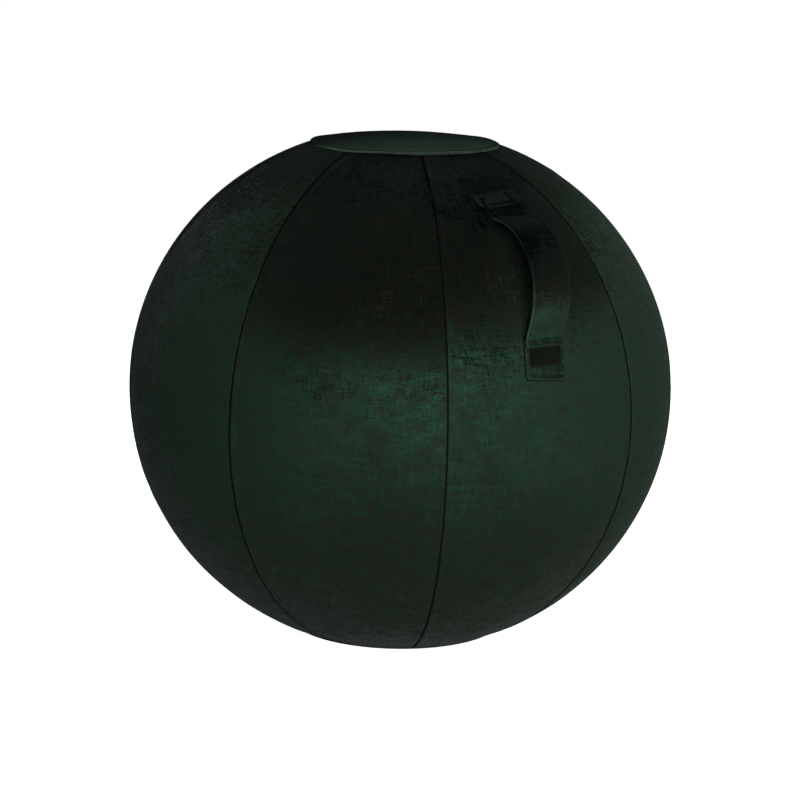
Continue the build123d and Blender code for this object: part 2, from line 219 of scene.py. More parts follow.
# %% [markdown]
# ## Velvet
# Velvet is a pile of short fibres on a woven back. Seen closely it is never even: the yarns differ in
# thickness, which leaves short streaks along and across the cloth, and the pile lies in patches where
# hands and seats have brushed it. One node group makes that pattern from the cloth's own coordinates,
# and every velvet piece uses it, so that gores, cap and strap look cut from one roll.

# %% Pattern of the pile
STREAK_LENGTH, STREAK_WIDTH = 14 * MM, 2.4 * MM
HATCH_LENGTH, HATCH_WIDTH = 22 * MM, 4.5 * MM
CLOUD_LENGTH, CLOUD_WIDTH = 28 * MM, 15 * MM
PILE_GRAIN = 1.9 * MM
BRUSHED_PATCH = 110 * MM
SLUB_STREAKS, SLUB_CLOUD, SLUB_GRAIN = 0.9, 1.0, 1.5
BRUSH_HATCH, BRUSH_PATCH, BRUSH_STREAKS = 1.3, 1.4, 0.8
HEIGHT_STREAKS = 0.5


def make_pile_group():
    tree, given, made = new_tree(
        "velvet pile", "ShaderNodeTree",
        inputs=[("Cloth", VECTOR, None)],
        outputs=[("Slub", FLOAT), ("Brushing", FLOAT), ("Height", FLOAT)],
    )
    x, y = axes(tree, given.outputs["Cloth"])

    def blots(length, width, seed, detail):
        """Soft random spots of a length and a width. The seed picks a slice of the noise."""
        return noise(tree, vector(tree, x / length, y / width, seed), detail=detail)

    def streaks(length, width, seed):
        """Streaks along the cloth plus streaks across it, around 0."""
        lengthwise = blots(length, width, seed, detail=3.0)
        crosswise = blots(width, length, seed + 4.0, detail=3.0)
        return lengthwise + crosswise - 1.0

    streak = streaks(STREAK_LENGTH, STREAK_WIDTH, seed=3.0)
    hatch = streaks(HATCH_LENGTH, HATCH_WIDTH, seed=11.0)
    cloud = blots(CLOUD_LENGTH, CLOUD_WIDTH, seed=8.0, detail=4.0) - 0.5
    grain = blots(PILE_GRAIN, PILE_GRAIN, seed=1.0, detail=1.0) - 0.5
    patch = blots(BRUSHED_PATCH, BRUSHED_PATCH, seed=5.0, detail=2.0) - 0.5
    slub = streak * SLUB_STREAKS + cloud * SLUB_CLOUD + grain * SLUB_GRAIN
    brushing = hatch * BRUSH_HATCH + patch * BRUSH_PATCH + streak * BRUSH_STREAKS + grain
    plug(tree, slub, made.inputs["Slub"])
    plug(tree, brushing, made.inputs["Brushing"])
    plug(tree, streak * HEIGHT_STREAKS + grain, made.inputs["Height"])
    return tree


pile_group = make_pile_group()
print("pile pattern:", len(pile_group.nodes), "nodes")

# %% [markdown]
# The pile also leans. Fibres that point at the eye show their dark ends and fibres seen from the side
# shine, which is why the top of a velvet ball can look black while its belly is green. The second group
# tilts the shading normal down the cloth by the lean of the pile. The shine itself is a broad green
# highlight, stretched across the cloth as it is on fibres, and it moves with the tilted normal.

# %% Lean of the pile


def across_cloth(tree):
    """Direction of the weft, from the piece's UV map."""
    settings = {"direction_type": "UV_MAP", "uv_map": "UVMap"}
    return add_node(tree, "ShaderNodeTangent", settings).outputs[0]


def make_nap_group():
    tree, given, made = new_tree(
        "velvet nap", "ShaderNodeTree",
        inputs=[("Normal", VECTOR, None), ("Lean", FLOAT, 0.5)],
        outputs=[("Normal", VECTOR)],
    )
    normal = given.outputs["Normal"]
    down = vector_math(tree, "CROSS_PRODUCT", across_cloth(tree), normal)
    lean = Field(tree, given.outputs["Lean"])
    upright = vector_math(tree, "SCALE", normal, scale=lean.cos())
    leaning = vector_math(tree, "SCALE", down, scale=lean.sin())
    total = vector_math(tree, "ADD", upright, leaning)
    plug(tree, vector_math(tree, "NORMALIZE", total), made.inputs["Normal"])
    return tree


nap_group = make_nap_group()
print("nap:", len(nap_group.nodes), "nodes")

# %% Helpers for materials


def new_material(name, roughness, specular):
    material = bpy.data.materials.new(name)
    material.use_nodes = True
    tree = material.node_tree
    shader = next(node for node in tree.nodes if node.type == "BSDF_PRINCIPLED")
    shader.inputs["Roughness"].default_value = roughness
    shader.inputs["Specular IOR Level"].default_value = specular
    return material, tree, shader


def object_place(tree):
    return add_node(tree, "ShaderNodeTexCoord").outputs["Object"]


def cloth_place(tree):
    return add_node(tree, "ShaderNodeUVMap", {"uv_map": "UVMap"}).outputs[0]


def mark(tree, name):
    """Value that a piece carries on its points under a name."""
    return Field(tree, add_node(tree, "ShaderNodeAttribute", {"attribute_name": name}).outputs["Fac"])


def colour_between(tree, share, low, high):
    mix = add_node(tree, "ShaderNodeMix", {"data_type": "RGBA"})
    plug(tree, share, mix.inputs[0])
    plug(tree, low, mix.inputs[6])
    plug(tree, high, mix.inputs[7])
    return mix.outputs[2]


def bump(tree, height, depth, strength=0.6):
    node = add_node(tree, "ShaderNodeBump", Height=height, Distance=depth, Strength=strength)
    return node.outputs[0]


print("material helpers ready")

# %% [markdown]
# How far the pile leans depends on the place. On the upper part of the ball the pile leans back, and
# there the base colour is also darkened as painted shade, so that the top looks black. The border of
# that dark top wanders with the brushing. Below the widest line the pile is less disturbed, and near the
# floor it leans the other way. A piece can carry two marks on its points: "nap" moves the dark top's
# border up or down on that piece, and "pale" lays a painted highlight on folded edges, on the strap's
# rims and on the cap.

# %% Velvet material
PILE_DARK = (0.0086, 0.0052, 0.0039, 1)
PILE_GREEN = (0.0042, 0.0112, 0.0070, 1)
# Colour of the painted highlight that the pale mark lays on folded edges, the strap's rims and the cap.
PILE_HIGHLIGHT = (0.028, 0.036, 0.03, 1)
PILE_SHINE = (0.22, 0.68, 0.41, 1)
DYE_CONTRAST, DYE_MIDDLE = 4.2, 0.6
# Painted shade: how much the dark top darkens the base colour.
DARK_TOP_SHADE = 0.5
PILE_DEPTH = 0.6 * MM
PILE_ROUGHNESS, PILE_SPECULAR, PILE_STRETCH = 0.72, 0.42, 0.5
GLOSS_STREAKS = -0.35
PILE_FUZZ, CAP_FUZZ = 0.01, 0.04
FUZZ_TINT, FUZZ_ROUGHNESS = (0.9, 1.0, 0.85, 1), 0.4
NAP_LEAN = math.radians(-2)
CAP_LEAN = math.radians(52)
STRAP_LEAN = math.radians(-14)
NAP_SPREAD = math.radians(46)
CALM_SHARE = 0.6
CALM_BELOW, CALM_ABOVE = 60 * MM, 120 * MM
# The dark top on the ball's upper part: its lean, where it begins and how far its border wanders. Its
# colour is painted shade.
DARK_TOP_LEAN = math.radians(-30)
DARK_TOP_RISE, DARK_TOP_EDGE = 70 * MM, 90 * MM
DARK_TOP_WANDER = 80 * MM
STRAP_DARK_TOP_LEAN = math.radians(-45)
STRAP_DARK_TOP_RISE, STRAP_DARK_TOP_EDGE = 152 * MM, 40 * MM
FOOT_LEAN = math.radians(8)
FOOT_DEPTH = 220 * MM


def make_velvet(name, lean, top_rise, top_edge, fuzz=PILE_FUZZ, top_lean=DARK_TOP_LEAN):
    """Velvet whose pile follows the piece's UV map, with painted shade on its upper part and a painted
    highlight where the pale mark is.
    """
    material, tree, shader = new_material(name, PILE_ROUGHNESS, PILE_SPECULAR)
    pile = add_node(tree, "ShaderNodeGroup", {"node_tree": pile_group})
    plug(tree, cloth_place(tree), pile.inputs["Cloth"])
    slub, brushing = (Field(tree, pile.outputs[label]) for label in ("Slub", "Brushing"))

    # Lean of the pile by height
    (height,) = axes(tree, object_place(tree), "Z")
    rise = height - WIDEST_HEIGHT
    spread = rise.ramp(-CALM_BELOW, CALM_ABOVE, NAP_SPREAD * CALM_SHARE, NAP_SPREAD)
    # The dark top: above a height the pile leans back and the colour gets painted shade.
    dark_top = (rise + brushing * DARK_TOP_WANDER - mark(tree, "nap")).ramp(top_rise, top_rise + top_edge)
    foot = rise.ramp(-FOOT_DEPTH, 0.0, FOOT_LEAN, 0.0)
    nap = add_node(tree, "ShaderNodeGroup", {"node_tree": nap_group})
    plug(tree, bump(tree, pile.outputs["Height"], PILE_DEPTH), nap.inputs["Normal"])
    plug(tree, brushing * spread + dark_top * top_lean + foot + lean, nap.inputs["Lean"])
    plug(tree, nap.outputs[0], shader.inputs["Normal"])

    # Colour, shine and fuzz
    # Painted shade: the dark top darkens the base colour towards the dark end.
    share = slub * DYE_CONTRAST - dark_top * DARK_TOP_SHADE + DYE_MIDDLE
    dyed_and_shaded = colour_between(tree, share, PILE_DARK, PILE_GREEN)
    # Painted highlight: the pale mark lightens the colour towards the highlight colour.
    plug(tree, colour_between(tree, mark(tree, "pale"), dyed_and_shaded, PILE_HIGHLIGHT), shader.inputs["Base Color"])
    plug(tree, slub * GLOSS_STREAKS + PILE_ROUGHNESS, shader.inputs["Roughness"])
    plug(tree, across_cloth(tree), shader.inputs["Tangent"])
    constants = {
        "Specular Tint": PILE_SHINE, "Anisotropic": PILE_STRETCH,
        "Sheen Weight": fuzz, "Sheen Roughness": FUZZ_ROUGHNESS, "Sheen Tint": FUZZ_TINT,
    }
    for label, value in constants.items():
        shader.inputs[label].default_value = value
    return material


velvet = make_velvet("velvet", NAP_LEAN, DARK_TOP_RISE, DARK_TOP_EDGE)
cap_velvet = make_velvet("cap velvet", CAP_LEAN, BALL_WIDTH, DARK_TOP_EDGE, CAP_FUZZ)
strap_velvet = make_velvet(
    "strap velvet", STRAP_LEAN, STRAP_DARK_TOP_RISE, STRAP_DARK_TOP_EDGE, top_lean=STRAP_DARK_TOP_LEAN
)
print("velvet:", len(velvet.node_tree.nodes), "nodes")

# %% [markdown]
# ## Thread, zip cloth, rubber and metal
# The smaller finishes each get their own grain. Sewing thread is a little lighter than the pile and
# catches light on its twist. The zip's tape is a fine rib. The bladder and the base are duller.

# %% Thread
THREAD_TWIST = 0.7 * MM
THREAD_RELIEF = 0.1 * MM
THREAD_DARK, THREAD_LIGHT = (0.006, 0.012, 0.009, 1), (0.022, 0.05, 0.036, 1)


def make_thread():
    material, tree, shader = new_material("thread", roughness=0.7, specular=0.08)
    twist = noise(tree, object_place(tree), 1 / THREAD_TWIST)
    plug(tree, colour_between(tree, twist, THREAD_DARK, THREAD_LIGHT), shader.inputs["Base Color"])
    plug(tree, bump(tree, twist, THREAD_RELIEF), shader.inputs["Normal"])
    return material


thread = make_thread()
print("thread ready")

# %% Woven cloth for the zip's tape, the base panel and the badge, and near-black cloth for painted shadow
WEAVE_SPECULAR = 0.03
WEAVE_RELIEF = 0.15 * MM
FLUFF_RIBS = 4
# Near-black colours of the painted shadow round the patches and in the seams.
SHADOW_FELT_DARK, SHADOW_FELT_LIGHT = (0.0015, 0.0015, 0.0015, 1), (0.004, 0.004, 0.004, 1)


def make_woven(name, low, high, rib_x, rib_y, roughness):
    """Plain weave: ribs along and across, from the piece's UV map."""
    material, tree, shader = new_material(name, roughness, WEAVE_SPECULAR)
    x, y = axes(tree, cloth_place(tree))
    warp = (x * (2 * math.pi / rib_x)).sin()
    weft = (y * (2 * math.pi / rib_y)).sin()
    rib = warp * weft * 0.5 + 0.5
    fluff = noise(tree, vector(tree, x / (FLUFF_RIBS * rib_x), y / (FLUFF_RIBS * rib_y), 2.0))
    plug(tree, colour_between(tree, rib * 0.5 + fluff * 0.5, low, high), shader.inputs["Base Color"])
    plug(tree, bump(tree, rib, WEAVE_RELIEF), shader.inputs["Normal"])
    return material


tape_cloth = make_woven(
    "zip tape", (0.006, 0.011, 0.009, 1), (0.02, 0.038, 0.03, 1), 1.1 * MM, 0.8 * MM, roughness=0.85
)
base_cloth = make_woven(
    "base cloth", (0.008, 0.009, 0.009, 1), (0.024, 0.026, 0.025, 1), 1.6 * MM, 1.6 * MM, roughness=0.9
)
badge_cloth = make_woven(
    "badge cloth", (0.006, 0.008, 0.007, 1), (0.014, 0.018, 0.016, 1), 0.7 * MM, 0.7 * MM, roughness=0.7
)
# Painted shadow: near-black cloth that shows as a dark line round the patches.
shadow_felt = make_woven("shadow_felt", SHADOW_FELT_DARK, SHADOW_FELT_LIGHT, 0.9 * MM, 0.9 * MM, roughness=0.95)
print("woven cloths ready")

# %% Rubber, plastic, painted metal and the painted shadow in the seams
GRAIN_SHARE = 0.4
DRIFT_GRAINS = 40
GLOSS_DRIFT = 0.2
GRAIN_RELIEF, GRAIN_STRENGTH = 0.1, 0.4


def make_moulded(name, low, high, roughness, specular, grain):
    """Moulded or cast surface with a fine grain and a slow drift in gloss."""
    material, tree, shader = new_material(name, roughness, specular)
    place = object_place(tree)
    fine = noise(tree, place, 1 / grain)
    slow = noise(tree, place, 1 / (DRIFT_GRAINS * grain))
    share = fine * GRAIN_SHARE + slow * (1 - GRAIN_SHARE)
    plug(tree, colour_between(tree, share, low, high), shader.inputs["Base Color"])
    plug(tree, slow * GLOSS_DRIFT + (roughness - GLOSS_DRIFT / 2), shader.inputs["Roughness"])
    plug(tree, bump(tree, fine, GRAIN_RELIEF * grain, GRAIN_STRENGTH), shader.inputs["Normal"])
    return material


bladder_rubber = make_moulded(
    "bladder rubber", (0.05, 0.055, 0.06, 1), (0.09, 0.095, 0.1, 1), 0.5, 0.4, grain=1.2 * MM
)
plug_rubber = make_moulded(
    "plug rubber", (0.5, 0.5, 0.48, 1), (0.66, 0.66, 0.63, 1), 0.55, 0.4, grain=0.8 * MM
)
grip_rubber = make_moulded(
    "grip dots", (0.012, 0.012, 0.012, 1), (0.03, 0.03, 0.03, 1), 0.6, 0.4, grain=0.5 * MM
)
tooth_plastic = make_moulded(
    "zip teeth", (0.008, 0.014, 0.011, 1), (0.022, 0.036, 0.03, 1), 0.4, 0.45, grain=0.4 * MM
)
zip_metal = make_moulded(
    "zip metal", (0.012, 0.015, 0.014, 1), (0.03, 0.036, 0.034, 1), 0.35, 0.5, grain=0.4 * MM
)
# Painted shadow: near-black cords that lie in the seams' grooves.
seam_shadow_felt = make_moulded("seam felt", SHADOW_FELT_DARK, SHADOW_FELT_LIGHT, 0.95, 0.03, grain=0.6 * MM)

for name, material in {
    "inner_ball": bladder_rubber, "valve_seat": bladder_rubber, "valve_plug": plug_rubber,
    "zip_teeth_left": tooth_plastic, "zip_teeth_right": tooth_plastic,
    "zip_bottom_stop": tooth_plastic, "zip_top_stop": tooth_plastic,
    "zip_slider": zip_metal, "zip_pull": zip_metal,
}.items():
    nodes[name].data.materials.clear()
    nodes[name].data.materials.append(material)
print("materials on the hard pieces")

# %% [markdown]
# ## Turning node trees into plain pieces
# A geometry tree stays live on its object, but a part for a library is better as plain mesh. The helper
# below runs a tree once on a seed mesh, bakes what comes out and throws the seed away. The pieces then
# get their body and their finish, and the CAD nodes that they stand for are hidden.

# %% Helpers for pieces


def keep(name, mesh, material=None):
    """New object at the origin from a mesh, shaded smooth."""
    piece = bpy.data.objects.new(name, mesh)
    bpy.context.scene.collection.objects.link(piece)
    if material:
        mesh.materials.clear()
        mesh.materials.append(material)
    mesh.shade_smooth()
    return piece


def end_tree(tree, made, geometry, material):
    """End a geometry tree: real copies, then their material, then the output."""
    whole = add_node(tree, "GeometryNodeRealizeInstances", Geometry=geometry)
    dressed = add_node(tree, "GeometryNodeSetMaterial", Geometry=whole.outputs[0], Material=material)
    tree.links.new(dressed.outputs[0], made.inputs[0])
    return tree


def bake_tree(name, seed_mesh, tree, values, wall=0.0):
    """Plain mesh piece made by a geometry tree on a seed mesh, with a wall thickness if asked."""
    seed = bpy.data.objects.new("seed", seed_mesh)
    bpy.context.scene.collection.objects.link(seed)
    modifier = seed.modifiers.new("tree", "NODES")
    modifier.node_group = tree
    inputs = [item for item in tree.interface.items_tree if item.in_out == "INPUT"]
    sockets = {item.name: item.identifier for item in inputs}
    for key, value in values.items():
        modifier[sockets[key]] = value
    if wall:
        solid = seed.modifiers.new("wall", "SOLIDIFY")
        solid.thickness = wall
        solid.offset = -1
    shown = seed.evaluated_get(bpy.context.evaluated_depsgraph_get())
    mesh = bpy.data.meshes.new_from_object(shown)
    mesh.name = name
    bpy.data.objects.remove(seed)
    return keep(name, mesh)


def settle(piece, body, slot, *replaced):
    """Give a piece its body and hide the CAD nodes that it stands for. The slot is not used."""
    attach(piece, body)
    if replaced:
        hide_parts(*replaced)
    return piece


print("piece helpers ready")

# %% Helpers for meshes made point by point


def mesh_from(name, points, faces, uvs=None, **marks):
    """Mesh from points and faces, with one UV pair and any named marks for each point."""
    mesh = bpy.data.meshes.new(name)
    mesh.from_pydata([tuple(point) for point in points], [], faces)
    if uvs is not None:
        layer = mesh.uv_layers.new(name="UVMap")
        loop_points = np.empty(len(mesh.loops), int)
        mesh.loops.foreach_get("vertex_index", loop_points)
        layer.data.foreach_set("uv", np.asarray(uvs, np.float32)[loop_points].ravel())
    for label, values in marks.items():
        attribute = mesh.attributes.new(label, "FLOAT", "POINT")
        attribute.data.foreach_set("value", np.asarray(values, np.float32))
    mesh.validate()
    mesh.update()
    return mesh


def ring_faces(rings, count):
    """Quads between neighbouring rings of points."""
    faces = []
    for ring in range(rings - 1):
        for step in range(count):
            here, there, after = ring * count, (ring + 1) * count, (step + 1) % count
            faces.append((here + step, there + step, there + after, here + after))
    return faces


def domed_faces(rings, count):
    """Faces of a form made of rings and closed by two tips, which come after the rings' points."""
    faces = ring_faces(rings, count)
    last = (rings - 1) * count
    for tip, start, forwards in ((rings * count, 0, True), (rings * count + 1, last, False)):
        for step in range(count):
            pair = (start + step, start + (step + 1) % count)
            faces.append((tip, *pair) if forwards else (tip, *pair[::-1]))
    return faces


def band_faces(rings, count):
    """Faces of a flat band made of rings, whose upper row of points runs back as the lower row."""
    faces = ring_faces(rings, count)
    for start, forwards in ((0, True), ((rings - 1) * count, False)):
        for i in range(count // 2 - 1):
            quad = (start + i, start + i + 1, start + count - 2 - i, start + count - 1 - i)
            faces.append(quad if forwards else quad[::-1])
    return faces


def bell(distance, width):
    """1 where a distance is 0, falling away over a width."""
    return math.exp(-((distance / width) ** 2))


def ease(share):
    """Smooth step from 0 to 1."""
    share = min(1.0, max(0.0, share))
    return share * share * (3 - 2 * share)


def rounded(inset, radius):
    """Height of a quarter circle by the distance from an edge, from 0 to 1."""
    return math.sqrt(1 - max(0.0, 1 - inset / radius) ** 2)


print("mesh helpers ready")

# %% [markdown]
# ## Gores
# A gore is flat cloth that the seams pull into a slice of a ball. Its shape follows a rule, so a
# geometry tree makes it: a grid whose columns crowd towards the seams is bent on to the ball, drawn
# down into the seam on one side and folded over a seam allowance on the other. Noise along the seam
# adds the small puckers that a machine stitch leaves. Next to the zip the edge steps back.

# %% Relief beside the seams
LAP_WIDTH, LAP_HEIGHT = 8.5 * MM, 0.5 * MM
LAP_START, LAP_FULL = 0.3 * MM, 2.2 * MM
LAP_FADE, LAP_END = LAP_WIDTH - 1.5 * MM, LAP_WIDTH + 2 * MM
SEAM_DEPTH, SEAM_SLOPE, LAPPED_SLOPE = 1.2 * MM, 1.2 * MM, 0.9 * MM
STITCH_DENT, STITCH_DENT_WIDTH = 0.5 * MM, 1.2 * MM
SHOULDER_DEPTH, SHOULDER_WIDTH = 0.5 * MM, 20 * MM
ZIP_LOW_ANGLE = math.radians(-50)
ZIP_LENGTH = 352 * MM
ZIP_HIGH_ANGLE = ZIP_LOW_ANGLE + ZIP_LENGTH / SIDE_RADIUS
ZIP_SLOT_HALF = 6.5 * MM
ZIP_END_EASE = 9 * MM


def zip_opening(angle):
    """1 along the zip and 0 past its ends."""
    end_ease = ZIP_END_EASE / SIDE_RADIUS
    begun = angle.ramp(ZIP_LOW_ANGLE - end_ease, ZIP_LOW_ANGLE)
    return begun - angle.ramp(ZIP_HIGH_ANGLE, ZIP_HIGH_ANGLE + end_ease)


def seam_relief(from_left, from_right, left_sewn, right_sewn):
    """Height of the cloth by its distance from both seams, the left one being the lapped one."""
    lap = from_left.ramp(LAP_START, LAP_FULL) * from_left.ramp(LAP_FADE, LAP_END, 1.0, 0.0)
    dent = (from_left - LAP_WIDTH).bell(STITCH_DENT_WIDTH)
    drop = from_right.bell(SEAM_SLOPE) * right_sewn + from_left.bell(LAPPED_SLOPE) * left_sewn
    shoulder = from_left.bell(SHOULDER_WIDTH) * left_sewn + from_right.bell(SHOULDER_WIDTH) * right_sewn
    relief = lap * LAP_HEIGHT - drop * SEAM_DEPTH - shoulder * SHOULDER_DEPTH
    return relief - dent * STITCH_DENT


print("zip from %.0f to %.0f degrees" % (math.degrees(ZIP_LOW_ANGLE), math.degrees(ZIP_HIGH_ANGLE)))

# %% Tree for one gore
GORE_COLUMNS, GORE_ROWS = 97, 221
EDGE_CROWDING = 0.62
TUCK_ANGLE = 0.006
PUCKER_DEPTH, PUCKER_LENGTH, PUCKER_REACH = 0.55 * MM, 16 * MM, 15 * MM
PUCKER_CROSSWISE = 6.0
SLACK_DEPTH, SLACK_WAVES, SLACK_SEED = 1.2 * MM, 5.0, 20.0
# The fold numbers place a thin painted highlight beside the lapped seam.
FOLD_PLACE, FOLD_WIDTH, FOLD_HIGHLIGHT = 1.8 * MM, 1.3 * MM, 0.15
ROLL_SHIFT = 0.37


def store(tree, geometry, name, value, settings=None):
    """Geometry that carries a value under a name."""
    kind = "GeometryNodeStoreNamedAttribute"
    return add_node(tree, kind, settings, Geometry=geometry, Name=name, Value=value).outputs[0]


def make_gore_tree():
    numbers = ("Azimuth", "Half Angle", "Zip Left", "Zip Right", "Seed", "Nap Shift")
    tree, given, made = new_tree(
        "gore", "GeometryNodeTree",
        inputs=[(label, FLOAT, 0.0) for label in numbers] + [("Cloth", MATERIAL, None)],
        outputs=[("Geometry", GEOMETRY)],
    )
    azimuth, half, zip_left, zip_right, seed, dark_top_shift = (
        Field(tree, given.outputs[label]) for label in numbers
    )
    grid = add_node(tree, "GeometryNodeMeshGrid", Vertices_X=GORE_COLUMNS, Vertices_Y=GORE_ROWS)
    column, along = axes(tree, grid.outputs["UV Map"])
    across = column * 2.0 - 1.0
    spread = (across * (math.pi / 2)).sin() * EDGE_CROWDING + across * (1 - EDGE_CROWDING)
    low, high = BASE_ANGLE - TUCK_ANGLE, TOP_ANGLE + TUCK_ANGLE
    angle = along * (high - low) + low
    reach = angle.cos() * SIDE_RADIUS + SIDE_OFFSET

    # Where the zip is, the edge stands back from the seam
    opened = zip_opening(angle)
    step_back = opened * ZIP_SLOT_HALF / reach
    left_limit = half - step_back * zip_left
    right_limit = half - step_back * zip_right
    turn = spread.math("MAXIMUM", 0.0) * right_limit + spread.math("MINIMUM", 0.0) * left_limit

    # Relief by distance from each seam, with puckers near it and slack between
    from_left = (turn + left_limit) * reach
    from_right = (right_limit - turn) * reach
    left_sewn, right_sewn = (opened * side * -1.0 + 1.0 for side in (zip_left, zip_right))
    run = along * ((TOP_ANGLE - BASE_ANGLE) * SIDE_RADIUS / PUCKER_LENGTH)
    pucker = noise(tree, vector(tree, run, turn * PUCKER_CROSSWISE, seed), detail=1.0) - 0.5
    near = from_left.bell(PUCKER_REACH) + from_right.bell(PUCKER_REACH)
    slack_place = vector(tree, turn * SLACK_WAVES, along * SLACK_WAVES, seed + SLACK_SEED)
    slack = noise(tree, slack_place, detail=0.0) - 0.5
    relief = seam_relief(from_left, from_right, left_sewn, right_sewn)
    relief = relief + pucker * near * (2 * PUCKER_DEPTH) + slack * SLACK_DEPTH

    # Bend the grid on to the ball and give it the cloth's own coordinates
    radius = relief + SIDE_RADIUS
    outwards = radius * angle.cos() + SIDE_OFFSET
    heading = turn + azimuth
    height = radius * angle.sin() + WIDEST_HEIGHT
    place = vector(tree, outwards * heading.cos(), outwards * heading.sin(), height)
    bent = add_node(tree, "GeometryNodeSetPosition", Geometry=grid.outputs["Mesh"], Position=place)
    cloth_uv = vector(tree, turn * reach + seed * ROLL_SHIFT, angle * SIDE_RADIUS, 0.0)
    mapped = store(tree, bent.outputs[0], "UVMap", cloth_uv, {"data_type": "FLOAT2", "domain": "CORNER"})
    # Painted highlight in a thin line beside the lapped seam.
    highlighted = store(tree, mapped, "pale", (from_left - FOLD_PLACE).bell(FOLD_WIDTH) * FOLD_HIGHLIGHT)
    # Shift of the border of the painted dark top on this gore.
    lying = store(tree, highlighted, "nap", dark_top_shift)
    return end_tree(tree, made, lying, given.outputs["Cloth"])


gore_tree = make_gore_tree()
print("gore tree:", len(gore_tree.nodes), "nodes")

# %% Make the gores
ZIP_LEFT_GORE, ZIP_RIGHT_GORE = 4, 5
SEAM_CLEARANCE = 0.15 * MM
COVER_WALL = 1.3 * MM
# How far the border of the painted dark top moves up or down on each gore.
DARK_TOP_SHIFTS = [shift * MM for shift in (25, 160, 20, -10, 40, 0, 260, -10)]
gore_length = (TOP_ANGLE - BASE_ANGLE) * SIDE_RADIUS
gore_area = GORE_ANGLE * SIDE_RADIUS * (
    SIDE_OFFSET * (TOP_ANGLE - BASE_ANGLE) + SIDE_RADIUS * (math.sin(TOP_ANGLE) - math.sin(BASE_ANGLE))
)

for number in range(1, GORE_COUNT + 1):
    gore = bake_tree(
        f"gore_{number}", bpy.data.meshes.new("seed"), gore_tree,
        {
            "Azimuth": HANDLE_AZIMUTH + (number - 1) * GORE_ANGLE,
            "Half Angle": GORE_ANGLE / 2 - SEAM_CLEARANCE / HALF_WIDTH,
            "Zip Right": float(number == ZIP_LEFT_GORE),
            "Zip Left": float(number == ZIP_RIGHT_GORE),
            "Seed": float(number),
            "Nap Shift": DARK_TOP_SHIFTS[number - 1],
            "Cloth": velvet,
        },
        wall=COVER_WALL,
    )
    settle(gore, "ball", "velvet", f"cover_gore_{number}")
print("gores:", GORE_COUNT, "each %.3f m2" % gore_area, len(gore.data.polygons), "faces")

# %% [markdown]
# ## Top cap and base panel
# Both are round panels sewn over the ends of the gores, so their edges stand a little proud and roll
# down into the seam. A lathe would give the shape, but cloth is never that even, so the points are
# turned in code, where a slow wave can be added to each ring before the faces are made.

# %% Turned panels
TURN_STEPS = 192
PANEL_WALL = 1.5 * MM
ROLL_STEPS = 8
ROLL_RADIUS = 2.2 * MM
ROLL_UNDER = 0.35
LIP_INSET = 1.2 * MM


def turned_panel(name, profile, wave, pale=0.0):
    """Closed panel turned from a profile that starts and ends on the axis, with a slow wave."""
    points, uvs = [], []
    rings = profile[1:-1]
    for reach, height in rings:
        for step in range(TURN_STEPS):
            turn = 2 * math.pi * step / TURN_STEPS
            x, y = reach * math.cos(turn), reach * math.sin(turn)
            points.append((x, y, height + wave(reach, turn)))
            uvs.append((x, y))
    for _, height in (profile[0], profile[-1]):
        points.append((0, 0, height))
        uvs.append((0, 0))
    faces = domed_faces(len(rings), TURN_STEPS)
    return mesh_from(name, points, faces, uvs, pale=[pale] * len(points))


def dome_height(reach, edge_reach, edge_height, rise):
    radius = (edge_reach**2 + rise**2) / (2 * rise)
    return edge_height + rise - radius + math.sqrt(radius**2 - reach**2)


print("panel helper ready")

# %% Top cap
CAP_RINGS = 40
# Painted sheen: how far the whole cap is lightened towards the highlight colour.
CAP_PAINTED_SHEEN = 0.85
CAP_HEM_DENT, CAP_HEM_WIDTH = 0.35 * MM, 2.5 * MM
CAP_LIP_DROP = 1.6 * MM
SEAM_PULL, CAP_WAVE = 0.45 * MM, 0.4 * MM
CAP_WAVES, CAP_WAVE_START, CAP_EDGE_POWER = 3, 1.0, 6
cap_edge_reach = SIDE_OFFSET + (SIDE_RADIUS + PANEL_STEP) * math.cos(TOP_ANGLE)
cap_edge_height = WIDEST_HEIGHT + (SIDE_RADIUS + PANEL_STEP) * math.sin(TOP_ANGLE)


def cap_top(reach):
    """Height of the cap's face, with a shallow dent where its hem ends."""
    hem = bell(cap_edge_reach - reach - LAP_WIDTH, CAP_HEM_WIDTH)
    return dome_height(reach, cap_edge_reach, cap_edge_height, CAP_DOME) - CAP_HEM_DENT * hem


def cap_profile():
    flat_end = cap_edge_reach - ROLL_RADIUS
    rings = [flat_end * math.sin(math.pi / 2 * i / CAP_RINGS) for i in range(CAP_RINGS + 1)]
    outside = [(reach, cap_top(reach)) for reach in rings]
    roll_height = cap_top(flat_end) - ROLL_RADIUS
    for i in range(1, ROLL_STEPS + 1):
        turn = math.pi / 2 * (1 - i / ROLL_STEPS) - ROLL_UNDER * i / ROLL_STEPS
        rolled = flat_end + ROLL_RADIUS * math.cos(turn), roll_height + ROLL_RADIUS * math.sin(turn)
        outside.append(rolled)
    under = outside[-1][0] - LIP_INSET, outside[-1][1] - CAP_LIP_DROP
    inside = [(reach, cap_top(reach) - PANEL_WALL) for reach in reversed(rings[:-2])]
    return outside + [under] + inside


def cap_wave(reach, turn):
    """Slight pull of the eight seams on the cap's edge, and a slow wave of three."""
    pull = math.cos(GORE_COUNT * (turn - HANDLE_AZIMUTH - GORE_ANGLE / 2))
    slow = math.sin(CAP_WAVES * turn + CAP_WAVE_START)
    near_edge = (reach / cap_edge_reach) ** CAP_EDGE_POWER
    return -SEAM_PULL * pull * near_edge + CAP_WAVE * slow * near_edge


